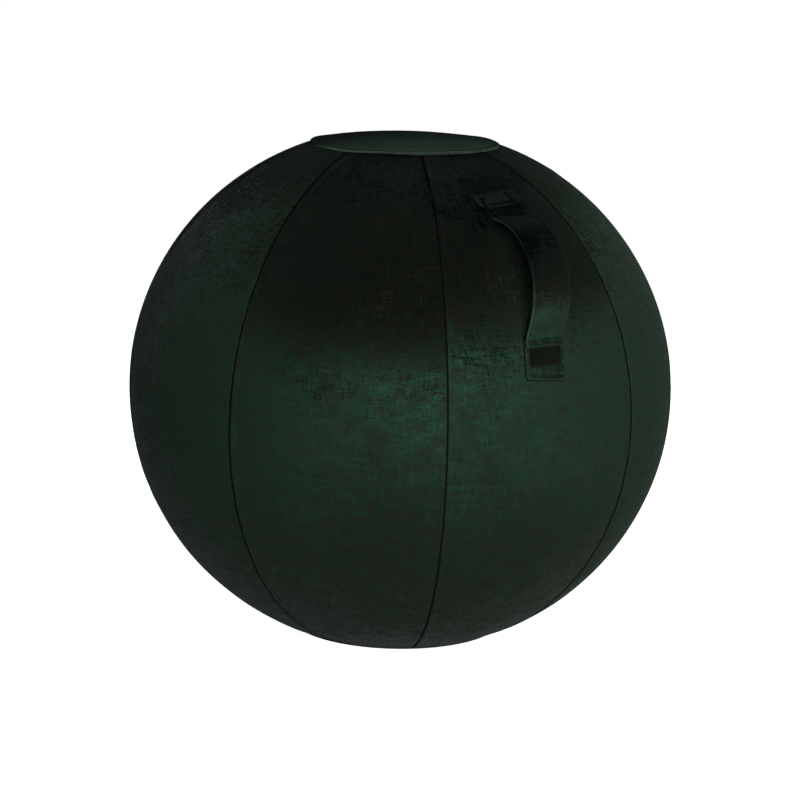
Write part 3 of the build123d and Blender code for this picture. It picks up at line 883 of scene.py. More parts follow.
# The cap carries the painted sheen all over its face.
cap = keep("cap", turned_panel("cap", cap_profile(), cap_wave, CAP_PAINTED_SHEEN), cap_velvet)
settle(cap, "ball", "velvet", "top_cap")
cap_size, cap_area = (2 * cap_edge_reach, 2 * cap_edge_reach), math.pi * cap_edge_reach**2
print("cap edge %.1f mm out, %.1f mm up" % (cap_edge_reach / MM, cap_edge_height / MM))

# %% Base panel
base_edge_reach = SIDE_OFFSET + (SIDE_RADIUS + PANEL_STEP) * math.cos(BASE_ANGLE)
DOT_RISE = 0.5 * MM
BASE_RINGS = 24


def base_profile():
    flat_end = base_edge_reach - ROLL_RADIUS
    rings = [flat_end * i / BASE_RINGS for i in range(BASE_RINGS + 1)]
    inside = [(reach, DOT_RISE + PANEL_WALL) for reach in rings[:-2]]
    lip = (base_edge_reach - LIP_INSET, DOT_RISE + 2 * ROLL_RADIUS)
    roll_height = DOT_RISE + ROLL_RADIUS
    roll = []
    for i in range(ROLL_STEPS + 1):
        turn = ROLL_UNDER - (math.pi / 2 + ROLL_UNDER) * i / ROLL_STEPS
        rolled = flat_end + ROLL_RADIUS * math.cos(turn), roll_height + ROLL_RADIUS * math.sin(turn)
        roll.append(rolled)
    outside = [(reach, DOT_RISE) for reach in reversed(rings[:-1])]
    return inside + [lip] + roll + outside


base = keep("base", turned_panel("base", base_profile(), lambda reach, turn: 0.0), base_cloth)
settle(base, "ball", "base_fabric", "base_panel")
base_size, base_area = (2 * base_edge_reach, 2 * base_edge_reach), math.pi * base_edge_reach**2
print("base edge %.1f mm out" % (base_edge_reach / MM))

# %% [markdown]
# ## Rows of stitches
# A machine stitch is the same short thread again and again, so it is one small bead of thread that a
# geometry tree copies along a line. The line carries the cloth's outward direction, which turns each
# bead to lie in the cloth. Real copies come last, so the stitches end as plain mesh.

# %% Tree for a row of stitches
STITCH_PITCH = 3.4 * MM
STITCH_LENGTH = 2.5 * MM
THREAD_RADIUS = 0.32 * MM
BEAD_SIDES, BEAD_RINGS = 6, 5


def make_stitch_tree():
    tree, given, made = new_tree(
        "stitches", "GeometryNodeTree",
        inputs=[
            ("Geometry", GEOMETRY, None), ("Thread", MATERIAL, None), ("Pitch", FLOAT, STITCH_PITCH),
            ("Length", FLOAT, STITCH_LENGTH), ("Radius", FLOAT, THREAD_RADIUS),
        ],
        outputs=[("Geometry", GEOMETRY)],
    )
    line = add_node(tree, "GeometryNodeMeshToCurve", Mesh=given.outputs["Geometry"])
    spaced = add_node(tree, "GeometryNodeResampleCurve", Curve=line.outputs[0])
    spaced.mode = "LENGTH"
    plug(tree, given.outputs["Pitch"], spaced.inputs["Length"])
    named = {"data_type": "FLOAT_VECTOR"}
    outward = add_node(tree, "GeometryNodeInputNamedAttribute", named, Name="outward")
    tangent = add_node(tree, "GeometryNodeInputTangent")
    aim = add_node(tree, "FunctionNodeAxesToRotation", {"primary_axis": "X", "secondary_axis": "Z"})
    plug(tree, tangent.outputs[0], aim.inputs[0])
    plug(tree, outward.outputs["Attribute"], aim.inputs[1])
    sphere = {"Segments": BEAD_SIDES, "Rings": BEAD_RINGS, "Radius": 1.0}
    bead = add_node(tree, "GeometryNodeMeshUVSphere", **sphere)
    radius = given.outputs["Radius"]
    size = vector(tree, Field(tree, given.outputs["Length"]) * 0.5, radius, radius)
    shape = add_node(tree, "GeometryNodeTransform", Geometry=bead.outputs["Mesh"], Scale=size)
    row = add_node(
        tree, "GeometryNodeInstanceOnPoints", Points=spaced.outputs[0], Instance=shape.outputs[0],
        Rotation=aim.outputs[0],
    )
    return end_tree(tree, made, row.outputs[0], given.outputs["Thread"])


stitch_tree = make_stitch_tree()


def line_mesh(rows):
    """Mesh of open lines, each given as pairs of point and outward direction."""
    points, outwards, edges = [], [], []
    for row in rows:
        start = len(points)
        points += [tuple(point) for point, _ in row]
        outwards += [tuple(out) for _, out in row]
        edges += [(start + i, start + i + 1) for i in range(len(row) - 1)]
    mesh = bpy.data.meshes.new("line")
    mesh.from_pydata(points, edges, [])
    attribute = mesh.attributes.new("outward", "FLOAT_VECTOR", "POINT")
    attribute.data.foreach_set("vector", np.asarray(outwards, np.float32).ravel())
    return mesh


def stitch_rows(name, rows):
    """One piece with a row of stitches along each line."""
    return bake_tree(name, line_mesh(rows), stitch_tree, {"Thread": thread})


print("stitch tree:", len(stitch_tree.nodes), "nodes")

# %% Stitches beside the seams
SEAM_STITCH_LIFT = -0.75 * MM
ZIP_STITCH_LIFT = 0.0
ROW_POINTS = 160
seam_azimuths = [HANDLE_AZIMUTH + (number - 0.5) * GORE_ANGLE for number in range(GORE_COUNT)]


def seam_row(azimuth):
    """Line of stitches on the lapped side of one seam."""
    row = []
    for i in range(ROW_POINTS):
        angle = BASE_ANGLE + (TOP_ANGLE - BASE_ANGLE) * (i + 1) / (ROW_POINTS + 1)
        beside_zip = azimuth == ZIP_AZIMUTH and ZIP_LOW_ANGLE < angle < ZIP_HIGH_ANGLE
        aside = LAP_WIDTH + (ZIP_SLOT_HALF if beside_zip else 0)
        row.append(cover_point_aside(azimuth, angle, aside, SEAM_STITCH_LIFT))
    return row


def zip_row():
    """Line of stitches along the zip, on the side that the seam's own row leaves free."""
    aside = -ZIP_SLOT_HALF - LAP_WIDTH
    angles = np.linspace(ZIP_LOW_ANGLE, ZIP_HIGH_ANGLE, ROW_POINTS)
    return [cover_point_aside(ZIP_AZIMUTH, angle, aside, ZIP_STITCH_LIFT) for angle in angles]


seam_rows = [seam_row(azimuth) for azimuth in seam_azimuths]
seam_stitches = stitch_rows("seam_stitches", seam_rows + [zip_row()])
settle(seam_stitches, "ball", "velvet")
print("seam stitches:", len(seam_stitches.data.polygons), "faces")

# %% [markdown]
# Between the two edges of a seam a dark line is painted shadow: a round near-black cord lies in that
# groove, swept along the seam by a small geometry tree, and it stops where the zip opens the seam.

# %% Painted shadow in the seams
SHADOW_CORD_RADIUS = 0.8 * MM
SHADOW_CORD_LIFT = -0.9 * MM
SHADOW_CORD_SIDES = 8
SHADOW_CORD_POINTS = 120


def make_shadow_cord_tree():
    tree, given, made = new_tree(
        "seam shadow cord", "GeometryNodeTree",
        inputs=[("Geometry", GEOMETRY, None), ("Radius", FLOAT, SHADOW_CORD_RADIUS), ("Cloth", MATERIAL, None)],
        outputs=[("Geometry", GEOMETRY)],
    )
    line = add_node(tree, "GeometryNodeMeshToCurve", Mesh=given.outputs["Geometry"])
    ring = add_node(tree, "GeometryNodeCurvePrimitiveCircle", Resolution=SHADOW_CORD_SIDES)
    plug(tree, given.outputs["Radius"], ring.inputs["Radius"])
    swept = add_node(tree, "GeometryNodeCurveToMesh", Curve=line.outputs[0], Fill_Caps=True)
    plug(tree, ring.outputs[0], swept.inputs["Profile Curve"])
    return end_tree(tree, made, swept.outputs[0], given.outputs["Cloth"])


def shadow_cord_rows():
    """Line of every seam, in two parts where the zip is."""
    end_ease = ZIP_END_EASE / SIDE_RADIUS
    zip_spans = [(BASE_ANGLE, ZIP_LOW_ANGLE - end_ease), (ZIP_HIGH_ANGLE + end_ease, TOP_ANGLE)]
    rows = []
    for azimuth in seam_azimuths:
        for span in zip_spans if azimuth == ZIP_AZIMUTH else [(BASE_ANGLE, TOP_ANGLE)]:
            angles = np.linspace(*span, SHADOW_CORD_POINTS)
            rows.append([cover_point(azimuth, angle, SHADOW_CORD_LIFT) for angle in angles])
    return rows


# Painted shadow: the near-black cords in the seam grooves.
shadow_cords = bake_tree("seam_shadow_cords", line_mesh(shadow_cord_rows()), make_shadow_cord_tree(), {"Cloth": seam_shadow_felt})
settle(shadow_cords, "ball", "velvet")
print("seam welts:", len(shadow_cords.data.polygons), "faces")

# %% [markdown]
# ## Handle strap
# The strap is a tube of velvet, turned, pressed flat and stitched near both edges, so it is fuller
# between the stitch rows and thin at its rims. Its middle line leaves the ball at one patch, stands off
# in a loop that a hand fits through, and comes back at the other. It is made in two halves that meet at
# the loop's crest.

# %% Middle line of the strap
HANDLE_DROP = 127 * MM
HANDLE_SPAN = 147 * MM
LOOP_RISE = 41 * MM
STRAP_WIDTH = 49 * MM
STRAP_THICKNESS = 4.5 * MM
STRAP_FOOT = 12 * MM
STRAP_LIFT = 5.35 * MM
BEND_SOFTNESS = 4 * MM
PATH_STEP = 1 * MM
FOOT_POINTS, LOOP_POINTS = 12, 90

STRAP_RADIUS = SIDE_RADIUS + STRAP_LIFT
UPPER_ANGLE = TOP_ANGLE - HANDLE_DROP / SIDE_RADIUS
SPAN_HALF_ANGLE = math.asin(HANDLE_SPAN / 2 / STRAP_RADIUS)
LOWER_ANGLE = UPPER_ANGLE - 2 * SPAN_HALF_ANGLE
LOOP_ANGLE = UPPER_ANGLE - SPAN_HALF_ANGLE
LOOP_RADIUS = ((HANDLE_SPAN / 2) ** 2 + LOOP_RISE**2) / (2 * LOOP_RISE)
LOOP_HALF_ANGLE = math.atan2(HANDLE_SPAN / 2, LOOP_RADIUS - LOOP_RISE)
LOOP_REACH = STRAP_RADIUS * math.cos(SPAN_HALF_ANGLE) + LOOP_RISE - LOOP_RADIUS


def arc(centre, radius, start, end, count):
    angles = np.linspace(start, end, count)
    return np.asarray(centre) + radius * np.column_stack([np.cos(angles), np.sin(angles)])


def soften(line):
    """A line of even steps with its corners rounded by a moving average."""
    reach = int(3 * BEND_SOFTNESS / PATH_STEP)
    weight = np.exp(-((np.arange(-reach, reach + 1) * PATH_STEP / BEND_SOFTNESS) ** 2) / 2)
    weight /= weight.sum()
    before = 2 * line[0] - line[reach:0:-1]
    after = 2 * line[-1] - line[-2:-reach - 2:-1]
    padded = np.vstack([before, line, after])
    return np.column_stack([np.convolve(padded[:, axis], weight, "valid") for axis in (0, 1)])


def strap_line():
    """Points and outward normals of the middle line, as distance out and height, at even steps."""
    side_centre = np.array([SIDE_OFFSET, WIDEST_HEIGHT])
    loop_centre = side_centre + LOOP_REACH * np.array([math.cos(LOOP_ANGLE), math.sin(LOOP_ANGLE)])
    foot = STRAP_FOOT / STRAP_RADIUS
    loop_start, loop_end = LOOP_ANGLE + LOOP_HALF_ANGLE, LOOP_ANGLE - LOOP_HALF_ANGLE
    corners = np.vstack([
        arc(side_centre, STRAP_RADIUS, UPPER_ANGLE + foot, UPPER_ANGLE, FOOT_POINTS),
        arc(loop_centre, LOOP_RADIUS, loop_start, loop_end, LOOP_POINTS)[1:-1],
        arc(side_centre, STRAP_RADIUS, LOWER_ANGLE, LOWER_ANGLE - foot, FOOT_POINTS),
    ])
    run = np.concatenate([[0], np.cumsum(np.linalg.norm(np.diff(corners, axis=0), axis=1))])
    steps = np.linspace(0, run[-1], int(run[-1] / PATH_STEP) // 2 * 2 + 1)
    line = soften(np.column_stack([np.interp(steps, run, corners[:, axis]) for axis in (0, 1)]))
    along = np.gradient(line, axis=0)
    along /= np.linalg.norm(along, axis=1)[:, None]
    return line, np.column_stack([along[:, 1], -along[:, 0]]), steps


strap_points, strap_normals, strap_run = strap_line()
last_step = len(strap_run) - 1
crest = len(strap_run) // 2
print("strap %.0f mm long, crest %.1f mm out" % (strap_run[-1] / MM, strap_points[crest][0] / MM))

# %% Section of the strap
STRAP_COLUMNS = 56
STRAP_FULLNESS = 0.999
EDGE_SQUARENESS, EDGE_ROUNDNESS = 9, 2.5
EDGE_HALF = 0.12 * MM
STRAP_SEAM_INSET = 4.2 * MM
STRAP_SEAM_DENT, STRAP_SEAM_WIDTH = 0.55 * MM, 1.1 * MM
STRAP_CROWN = 0.5 * MM
STRAP_HALF = STRAP_WIDTH / 2
STRAP_SEWN = STRAP_HALF - STRAP_SEAM_INSET


def strap_half_height(aside):
    """Half of the strap's thickness at a distance from its middle, dented along both stitch rows."""
    share = abs(aside) / STRAP_HALF
    half = STRAP_THICKNESS / 2 * (1 - share**EDGE_SQUARENESS) ** (1 / EDGE_ROUNDNESS)
    dent = bell(STRAP_SEWN - abs(aside), STRAP_SEAM_WIDTH)
    crown = max(0.0, 1 - (aside / STRAP_SEWN) ** 2)
    return half - STRAP_SEAM_DENT * dent + STRAP_CROWN * crown - STRAP_CROWN / 2


def strap_section():
    """Closed section as pairs of distance aside and lift, over the outer face and back under."""
    turns = np.linspace(-math.pi / 2, math.pi / 2, STRAP_COLUMNS)
    sides = [STRAP_HALF * math.sin(turn) * STRAP_FULLNESS for turn in turns]
    over = [(aside, max(strap_half_height(aside), EDGE_HALF)) for aside in sides]
    return over + [(aside, -lift) for aside, lift in reversed(over)]


print("strap section:", len(strap_section()), "points")

# %% Two halves of the strap
LOWER_SWAY = -7 * MM
PINCH_LENGTH, PINCH_LEAST = 2 * MM, 0.25
STRAP_FOLD_WIDTH = 1.1 * MM
STRAP_ROLL_SHIFT = 3.0
SWING_SHARE = 0.62
UPPER_SWING = int(crest * SWING_SHARE)
foot_steps = int(STRAP_FOOT / PATH_STEP)
strap_ends = {
    "upper": (0, crest, foot_steps, UPPER_SWING),
    "lower": (crest, last_step, last_step - foot_steps, last_step - UPPER_SWING),
}


def strap_at(index, aside, lift):
    """Point on the strap at a step of its line, a distance aside and a lift off its middle."""
    out, up = strap_points[index] + strap_normals[index] * lift
    sway = LOWER_SWAY * ease((index - crest) / (last_step - crest))
    return Vector((aside + sway, -out, up))


def strap_half(name, first, last):
    """Closed mesh of the strap between two steps of its line, pinched to a rounded edge at its foot."""
    section = strap_section()
    points, uvs, edge_highlights = [], [], []
    for index in range(first, last + 1):
        from_end = min(index, last_step - index) * PATH_STEP
        pinch = PINCH_LEAST + (1 - PINCH_LEAST) * rounded(from_end, PINCH_LENGTH)
        for aside, lift in section:
            points.append(strap_at(index, aside, lift * pinch))
            uvs.append((aside + STRAP_ROLL_SHIFT, -strap_run[index]))
            # Painted highlight along both rims of the strap.
            edge_highlights.append(bell(STRAP_HALF - abs(aside), STRAP_FOLD_WIDTH))
    return mesh_from(name, points, band_faces(last - first + 1, len(section)), uvs, pale=edge_highlights)


def bend_with_handle(piece, end):
    """Bake a piece's placement into its mesh. The foot and swing points of its end are found but not
    used.
    """
    start, stop = (strap_at(index, 0, 0) for index in strap_ends[end][2:])
    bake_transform(piece)


for end, (first, last, *_) in strap_ends.items():
    half_strap = keep(f"strap_{end}", strap_half(f"strap_{end}", first, last), strap_velvet)
    bend_with_handle(half_strap, end)
    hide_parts("handle_grip", f"handle_{end}_end")
print("strap halves:", len(half_strap.data.polygons), "faces each")

# %% Stitches on the strap
STRAP_STITCH_LIFT = STRAP_THICKNESS / 2 - STRAP_SEAM_DENT - 0.05 * MM
FOOT_STITCH_IN = 3
FOOT_ROW_POINTS = 24


def strap_side_row(first, last, side):
    """Line of stitches near one edge of the strap."""
    row = []
    for index in range(max(first, FOOT_STITCH_IN), min(last, last_step - FOOT_STITCH_IN) + 1):
        out, up = strap_normals[index]
        row.append((strap_at(index, side * STRAP_SEWN, STRAP_STITCH_LIFT), Vector((0, -out, up))))
    return row


def strap_foot_row(index):
    """Line of stitches across the strap's foot."""
    out, up = strap_normals[index]
    sides = np.linspace(-STRAP_SEWN, STRAP_SEWN, FOOT_ROW_POINTS)
    return [(strap_at(index, aside, strap_half_height(aside)), Vector((0, -out, up))) for aside in sides]


for end, (first, last, *_) in strap_ends.items():
    rows = [strap_side_row(first, last, side) for side in (-1, 1)]
    if end == "lower":
        rows += [strap_foot_row(last - inset) for inset in (FOOT_STITCH_IN, foot_steps - FOOT_STITCH_IN)]
    strap_stitches = stitch_rows(f"strap_stitches_{end}", rows)
    bend_with_handle(strap_stitches, end)
print("strap stitches:", len(strap_stitches.data.polygons), "faces on the lower half")

# %% [markdown]
# ## Patches and badge
# Two hemmed rectangles of the same velvet spread the strap's pull over the gore. Their edges are folded
# under, so the border is thicker than the middle, and a stitch row runs just inside it. Each lies on a
# slightly larger near-black sheet, a painted shadow that shows as a dark line round it. The upper patch
# climbs over the strap's sewn end and carries a small oval badge with a raised rim.

# %% Soft pads on the ball
PAD_RINGS = 26
PAD_TURNS = 160
PAD_ROLL = 1.0 * MM
# Painted highlight along a pad's folded edge, and its width.
PAD_EDGE_HIGHLIGHT, PAD_FOLD_WIDTH = 0.4, 1.0 * MM
PAD_CLIMB = 1 * MM
PAD_ROLL_SHIFT = 5.0


def level(*_):
    return 0.0


def pad_point(place, aside, along, lift):
    """Point and outward direction on a pad whose place is its angle, its shift aside and its skew."""
    angle, sideways, skew = place
    turned_aside = aside * math.cos(skew) - along * math.sin(skew)
    turned_along = aside * math.sin(skew) + along * math.cos(skew)
    pad_angle = angle + turned_along / SIDE_RADIUS
    return cover_point_aside(HANDLE_AZIMUTH, pad_angle, sideways + turned_aside, lift)


def soft_pad(name, place, half_width, half_length, squareness, low, height, rise=level, shade_shift=level):
    """Closed pad on the ball. Its height goes by distance from its edge, plus a rise along it."""
    points, uvs, edge_highlights, shade_shifts = [], [], [], []
    short = min(half_width, half_length)

    def outline(turn):
        cosine, sine = math.cos(turn), math.sin(turn)
        size = (abs(cosine) ** squareness + abs(sine) ** squareness) ** (-1 / squareness)
        return cosine * size * half_width, sine * size * half_length

    def add_point(share, turn, top, fold):
        aside, along = (share * value for value in outline(turn))
        inset = (1 - share) * short
        lift = low + (height(inset, along / half_length) if top else 0.0) + rise(along)
        points.append(pad_point(place, aside, along, lift)[0])
        uvs.append((aside + PAD_ROLL_SHIFT, along))
        # Painted highlight near the edge, left off where the pad climbs over the strap.
        edge_highlights.append(0.0 if rise(along) > PAD_CLIMB else fold)
        # Shift of the painted dark top, as the pad's shade function gives it.
        shade_shifts.append(shade_shift(inset, along / half_length))

    shares = [math.sin(math.pi / 2 * ring / PAD_RINGS) for ring in range(1, PAD_RINGS + 1)]
    layers = [(share, True, PAD_EDGE_HIGHLIGHT * bell((1 - share) * short, PAD_FOLD_WIDTH)) for share in shares]
    roll = PAD_ROLL / short
    layers += [(share - roll * (share > 0.5), False, 0.0) for share in reversed(shares)]
    for share, top, fold in layers:
        for step in range(PAD_TURNS):
            add_point(share, 2 * math.pi * step / PAD_TURNS, top, fold)
    for top in (True, False):
        add_point(0.0, 0.0, top, 0.0)
    return mesh_from(name, points, domed_faces(len(layers), PAD_TURNS), uvs, pale=edge_highlights, nap=shade_shifts)


print("pad helper ready")

# %% Heights of the patches
PATCH_LIFT = 0.1 * MM
PATCH_THICKNESS = 2.5 * MM
PATCH_HEM = 4 * MM
PATCH_EDGE, PATCH_EDGE_RADIUS = 0.4, 1.3 * MM
HEM_DENT, HEM_DENT_WIDTH = 0.5 * MM, 0.9 * MM
HEM_STEP, HEM_STEP_WIDTH = 1.2 * MM, 1.2 * MM
LABEL_LAYER = 1.1 * MM
LABEL_CLIMB_START, LABEL_CLIMB = 4 * MM, 15 * MM
STRAP_COVER = 7 * MM
SHADOW_SHEET_THICKNESS = 1.0 * MM


def patch_height(inset, _):
    """Thickness of a patch by distance from its edge: rounded fold, hem, stitch dent, thinner middle."""
    fold = PATCH_EDGE + (1 - PATCH_EDGE) * rounded(inset, PATCH_EDGE_RADIUS)
    dent = bell(inset - PATCH_HEM, HEM_DENT_WIDTH)
    past_hem = min(1.0, max(0.0, (inset - PATCH_HEM) / HEM_STEP_WIDTH))
    return PATCH_THICKNESS * fold - HEM_DENT * dent - HEM_STEP * past_hem


def label_height(inset, share):
    """Thickness of the upper patch, whose lower half is one flat layer over the strap's end."""
    flat = ease(-2 * share)
    return patch_height(inset, share) * (1 - flat) + LABEL_LAYER * flat


def label_rise(along):
    """Lift of the upper patch along its length, so that it covers the strap's sewn end."""
    return STRAP_COVER * ease((LABEL_CLIMB_START - along) / LABEL_CLIMB)


def shadow_sheet_height(inset, _):
    """Thickness of the near-black sheet under a patch, a painted shadow that shows as a dark line round
    it.
    """
    return SHADOW_SHEET_THICKNESS * rounded(inset, SHADOW_SHEET_THICKNESS)


print("patch middle %.1f mm thick" % (patch_height(3 * PATCH_HEM, 0) / MM))

# %% Patches
PATCH_WIDTH = 50 * MM
PATCH_SHOWS = {"upper": 31 * MM, "lower": 36 * MM}
PATCH_SQUARENESS = 14
PATCH_STITCH_SINK = 0.65 * MM
PATCH_ROW_POINTS = 24
SHADOW_SHEET_EDGE = 0.9 * MM
LABEL_SKEW = math.radians(9)
PATCH_SKEW = math.radians(-5)
# Shifts of the painted dark top: the label's hem is kept out of it, and the middles of the patches get
# its painted shade.
HEM_LIGHT_SHIFT, PAINTED_SHADE_SHIFT = 200 * MM, -150 * MM
# Where the painted shadow beside the strap lies on the lower patch.
SHADOW_EDGE, SHADOW_FROM, SHADOW_SPAN = 1 * MM, -0.9, 1.1
STRAP_BARE = 5 * MM


def label_shading(inset, share):
    """The label's hem is kept out of the painted dark top and shows green, and its middle gets the dark
    top's painted shade.
    """
    return HEM_LIGHT_SHIFT if inset < PATCH_HEM and share > 0 else PAINTED_SHADE_SHIFT


def lower_patch_shadow(inset, share):
    """Painted shadow: the lower patch is darkened inside its hem, most of all next to the strap's end.
    """
    beside_strap = ease((share - SHADOW_FROM) / SHADOW_SPAN)
    return PAINTED_SHADE_SHIFT * ease((inset - PATCH_HEM) / SHADOW_EDGE) * beside_strap


def patch_row(place, half_width, half_length, rise, corners):
    """Line of stitches inside a patch's hem, from corner to corner."""
    row = []
    low = PATCH_LIFT + PATCH_THICKNESS - PATCH_STITCH_SINK
    for (x0, y0), (x1, y1) in zip(corners, corners[1:]):
        for share in np.linspace(0, 1, PATCH_ROW_POINTS):
            aside = (x0 + (x1 - x0) * share) * (half_width - PATCH_HEM)
            along = (y0 + (y1 - y0) * share) * (half_length - PATCH_HEM)
            row.append(pad_point(place, aside, along, low + rise(along)))
    return row


def make_patch(end, lift_off, near, far, height, rise, nap, aside, skew, corners):
    """A patch and its painted-shadow sheet, from near to far of where the strap lifts off. Gives back
    its stitch row.
    """
    half_width, half_length = PATCH_WIDTH / 2, abs(far - near) / 2
    place = (lift_off + (near + far) / 2 / SIDE_RADIUS, aside, skew)
    shape = (half_width, half_length, PATCH_SQUARENESS, PATCH_LIFT, height, rise, nap)
    patch = keep(f"patch_{end}", soft_pad(f"patch_{end}", place, *shape), strap_velvet)
    settle(patch, "ball", "velvet", f"handle_{end}_patch")
    # A slightly larger near-black sheet under the patch is its painted shadow line.
    wider, longer = half_width + SHADOW_SHEET_EDGE, half_length + SHADOW_SHEET_EDGE
    under = soft_pad("shadow_sheet", place, wider, longer, PATCH_SQUARENESS, 0.0, shadow_sheet_height, rise)
    shadow_sheet = keep(f"patch_shadow_sheet_{end}", under, shadow_felt)
    settle(shadow_sheet, "ball", "velvet")
    return patch_row(place, half_width, half_length, rise, corners)


patch_rows = [
    make_patch(
        "upper", UPPER_ANGLE, STRAP_BARE, STRAP_FOOT + PATCH_SHOWS["upper"],
        label_height, label_rise, label_shading, aside=0.0, skew=LABEL_SKEW,
        corners=[(-1, -1), (-1, 1), (1, 1), (1, -1)],
    ),
    make_patch(
        "lower", LOWER_ANGLE, 0.0, -STRAP_FOOT - PATCH_SHOWS["lower"],
        patch_height, level, lower_patch_shadow, aside=LOWER_SWAY, skew=PATCH_SKEW,
        corners=[(-1, -1), (1, -1), (1, 1), (-1, 1), (-1, -1)],
    ),
]
patch_stitches = settle(stitch_rows("patch_stitches", patch_rows), "ball", "velvet")
print("patch stitches:", len(patch_stitches.data.polygons), "faces")

# %% Badge
BADGE_HALF_LENGTH, BADGE_HALF_HEIGHT = 18 * MM, 12.5 * MM
BADGE_SQUARENESS = 2.6
BADGE_THICKNESS, BADGE_EDGE_RADIUS = 1.3 * MM, 0.7 * MM
BADGE_RIM, BADGE_RIM_PLACE, BADGE_RIM_WIDTH = 0.3 * MM, 1.1 * MM, 0.7 * MM
BADGE_SINK = 1.3 * MM
badge_along = STRAP_FOOT + PATCH_SHOWS["upper"] / 2
badge_place = (UPPER_ANGLE + badge_along / SIDE_RADIUS, 0.0, LABEL_SKEW)
badge_low = PATCH_LIFT + PATCH_THICKNESS - BADGE_SINK
label_middle = (STRAP_BARE + STRAP_FOOT + PATCH_SHOWS["upper"]) / 2


def badge_height(inset, _):
    """Thickness of the badge: a rounded edge and a raised rim."""
    rim = bell(inset - BADGE_RIM_PLACE, BADGE_RIM_WIDTH)
    return BADGE_THICKNESS * rounded(inset, BADGE_EDGE_RADIUS) + BADGE_RIM * rim


def badge_rise(along):
    """Lift of the badge, which is that of the label under it."""
    return label_rise(along + badge_along - label_middle)


badge_mesh = soft_pad(
    "badge", badge_place, BADGE_HALF_LENGTH, BADGE_HALF_HEIGHT, BADGE_SQUARENESS,
    badge_low, badge_height, badge_rise,
)
badge = keep("badge", badge_mesh, badge_cloth)
settle(badge, "ball", "badge", "handle_badge")
print("badge:", len(badge.data.polygons), "faces")

# %% [markdown]
# ## Zip tapes
# Each tape is a narrow woven band sewn into the hem of its gore. The teeth are clamped along its inner
# edge. Past the last tooth, at both ends, the two tapes meet under the seam and close the slot.

# %% Tapes on both sides of the teeth
ZIP_DEPTH = 1.6 * MM
ZIP_HEM = 7.5 * MM
TAPE_THICKNESS = 0.6 * MM
TAPE_GAP = 4.8 * MM
TAPE_TAIL = 11 * MM
TAIL_GAP, TAIL_EASE = 0.2 * MM, 3 * MM
TAPE_ROWS, TAPE_COLUMNS = 160, 10
tape_width = ZIP_SLOT_HALF - TAPE_GAP / 2 + ZIP_HEM
tape_length = ZIP_LENGTH + 2 * TAPE_TAIL


def tape_mesh(name, side):
    """Closed band on one side of the teeth, drawn in past their ends."""
    points, uvs = [], []
    ring = 2 * TAPE_COLUMNS
    for row in range(TAPE_ROWS):
        along = tape_length * row / (TAPE_ROWS - 1) - TAPE_TAIL
        angle = ZIP_LOW_ANGLE + along / SIDE_RADIUS
        past_teeth = ease(max(-along, along - ZIP_LENGTH) / TAIL_EASE)
        inner = (TAPE_GAP + (TAIL_GAP - TAPE_GAP) * past_teeth) / 2
        for i in range(ring):
            step = i if i < TAPE_COLUMNS else ring - 1 - i
            aside = inner + (TAPE_GAP / 2 + tape_width - inner) * step / (TAPE_COLUMNS - 1)
            lift = TAPE_THICKNESS / 2 * (1 if i < TAPE_COLUMNS else -1)
            points.append(cover_point_aside(ZIP_AZIMUTH, angle, side * aside, lift - ZIP_DEPTH)[0])
            uvs.append((aside, SIDE_RADIUS * angle))
    faces = band_faces(TAPE_ROWS, ring)
    return mesh_from(name, points, faces if side < 0 else [face[::-1] for face in faces], uvs)


for name, side in (("left", -1), ("right", 1)):
    tape = keep(f"tape_{name}", tape_mesh(f"tape_{name}", side), tape_cloth)
    settle(tape, "ball", "zip_tape", f"zip_tape_{name}")
print("tapes: %.1f mm wide, %.0f mm long" % (tape_width / MM, tape_length / MM))

# %% [markdown]
# ## Grip dots
# The base panel is a plain cloth with small rubber dots, which stop the ball from sliding when someone
# sits on it. They lie on a triangular grid, so a geometry tree can place them: every other row is
# shifted by half a step, and dots outside a circle are dropped.

# %% Dots under the base
DOT_SPACING = 10 * MM
DOT_RADIUS = 2.2 * MM
DOT_FIELD = 118 * MM
DOT_SIDES, DOT_RINGS = 12, 6
SPARE_COLUMNS, SPARE_ROWS = 4, 2
ROW_SPACING = math.cos(math.pi / 6)


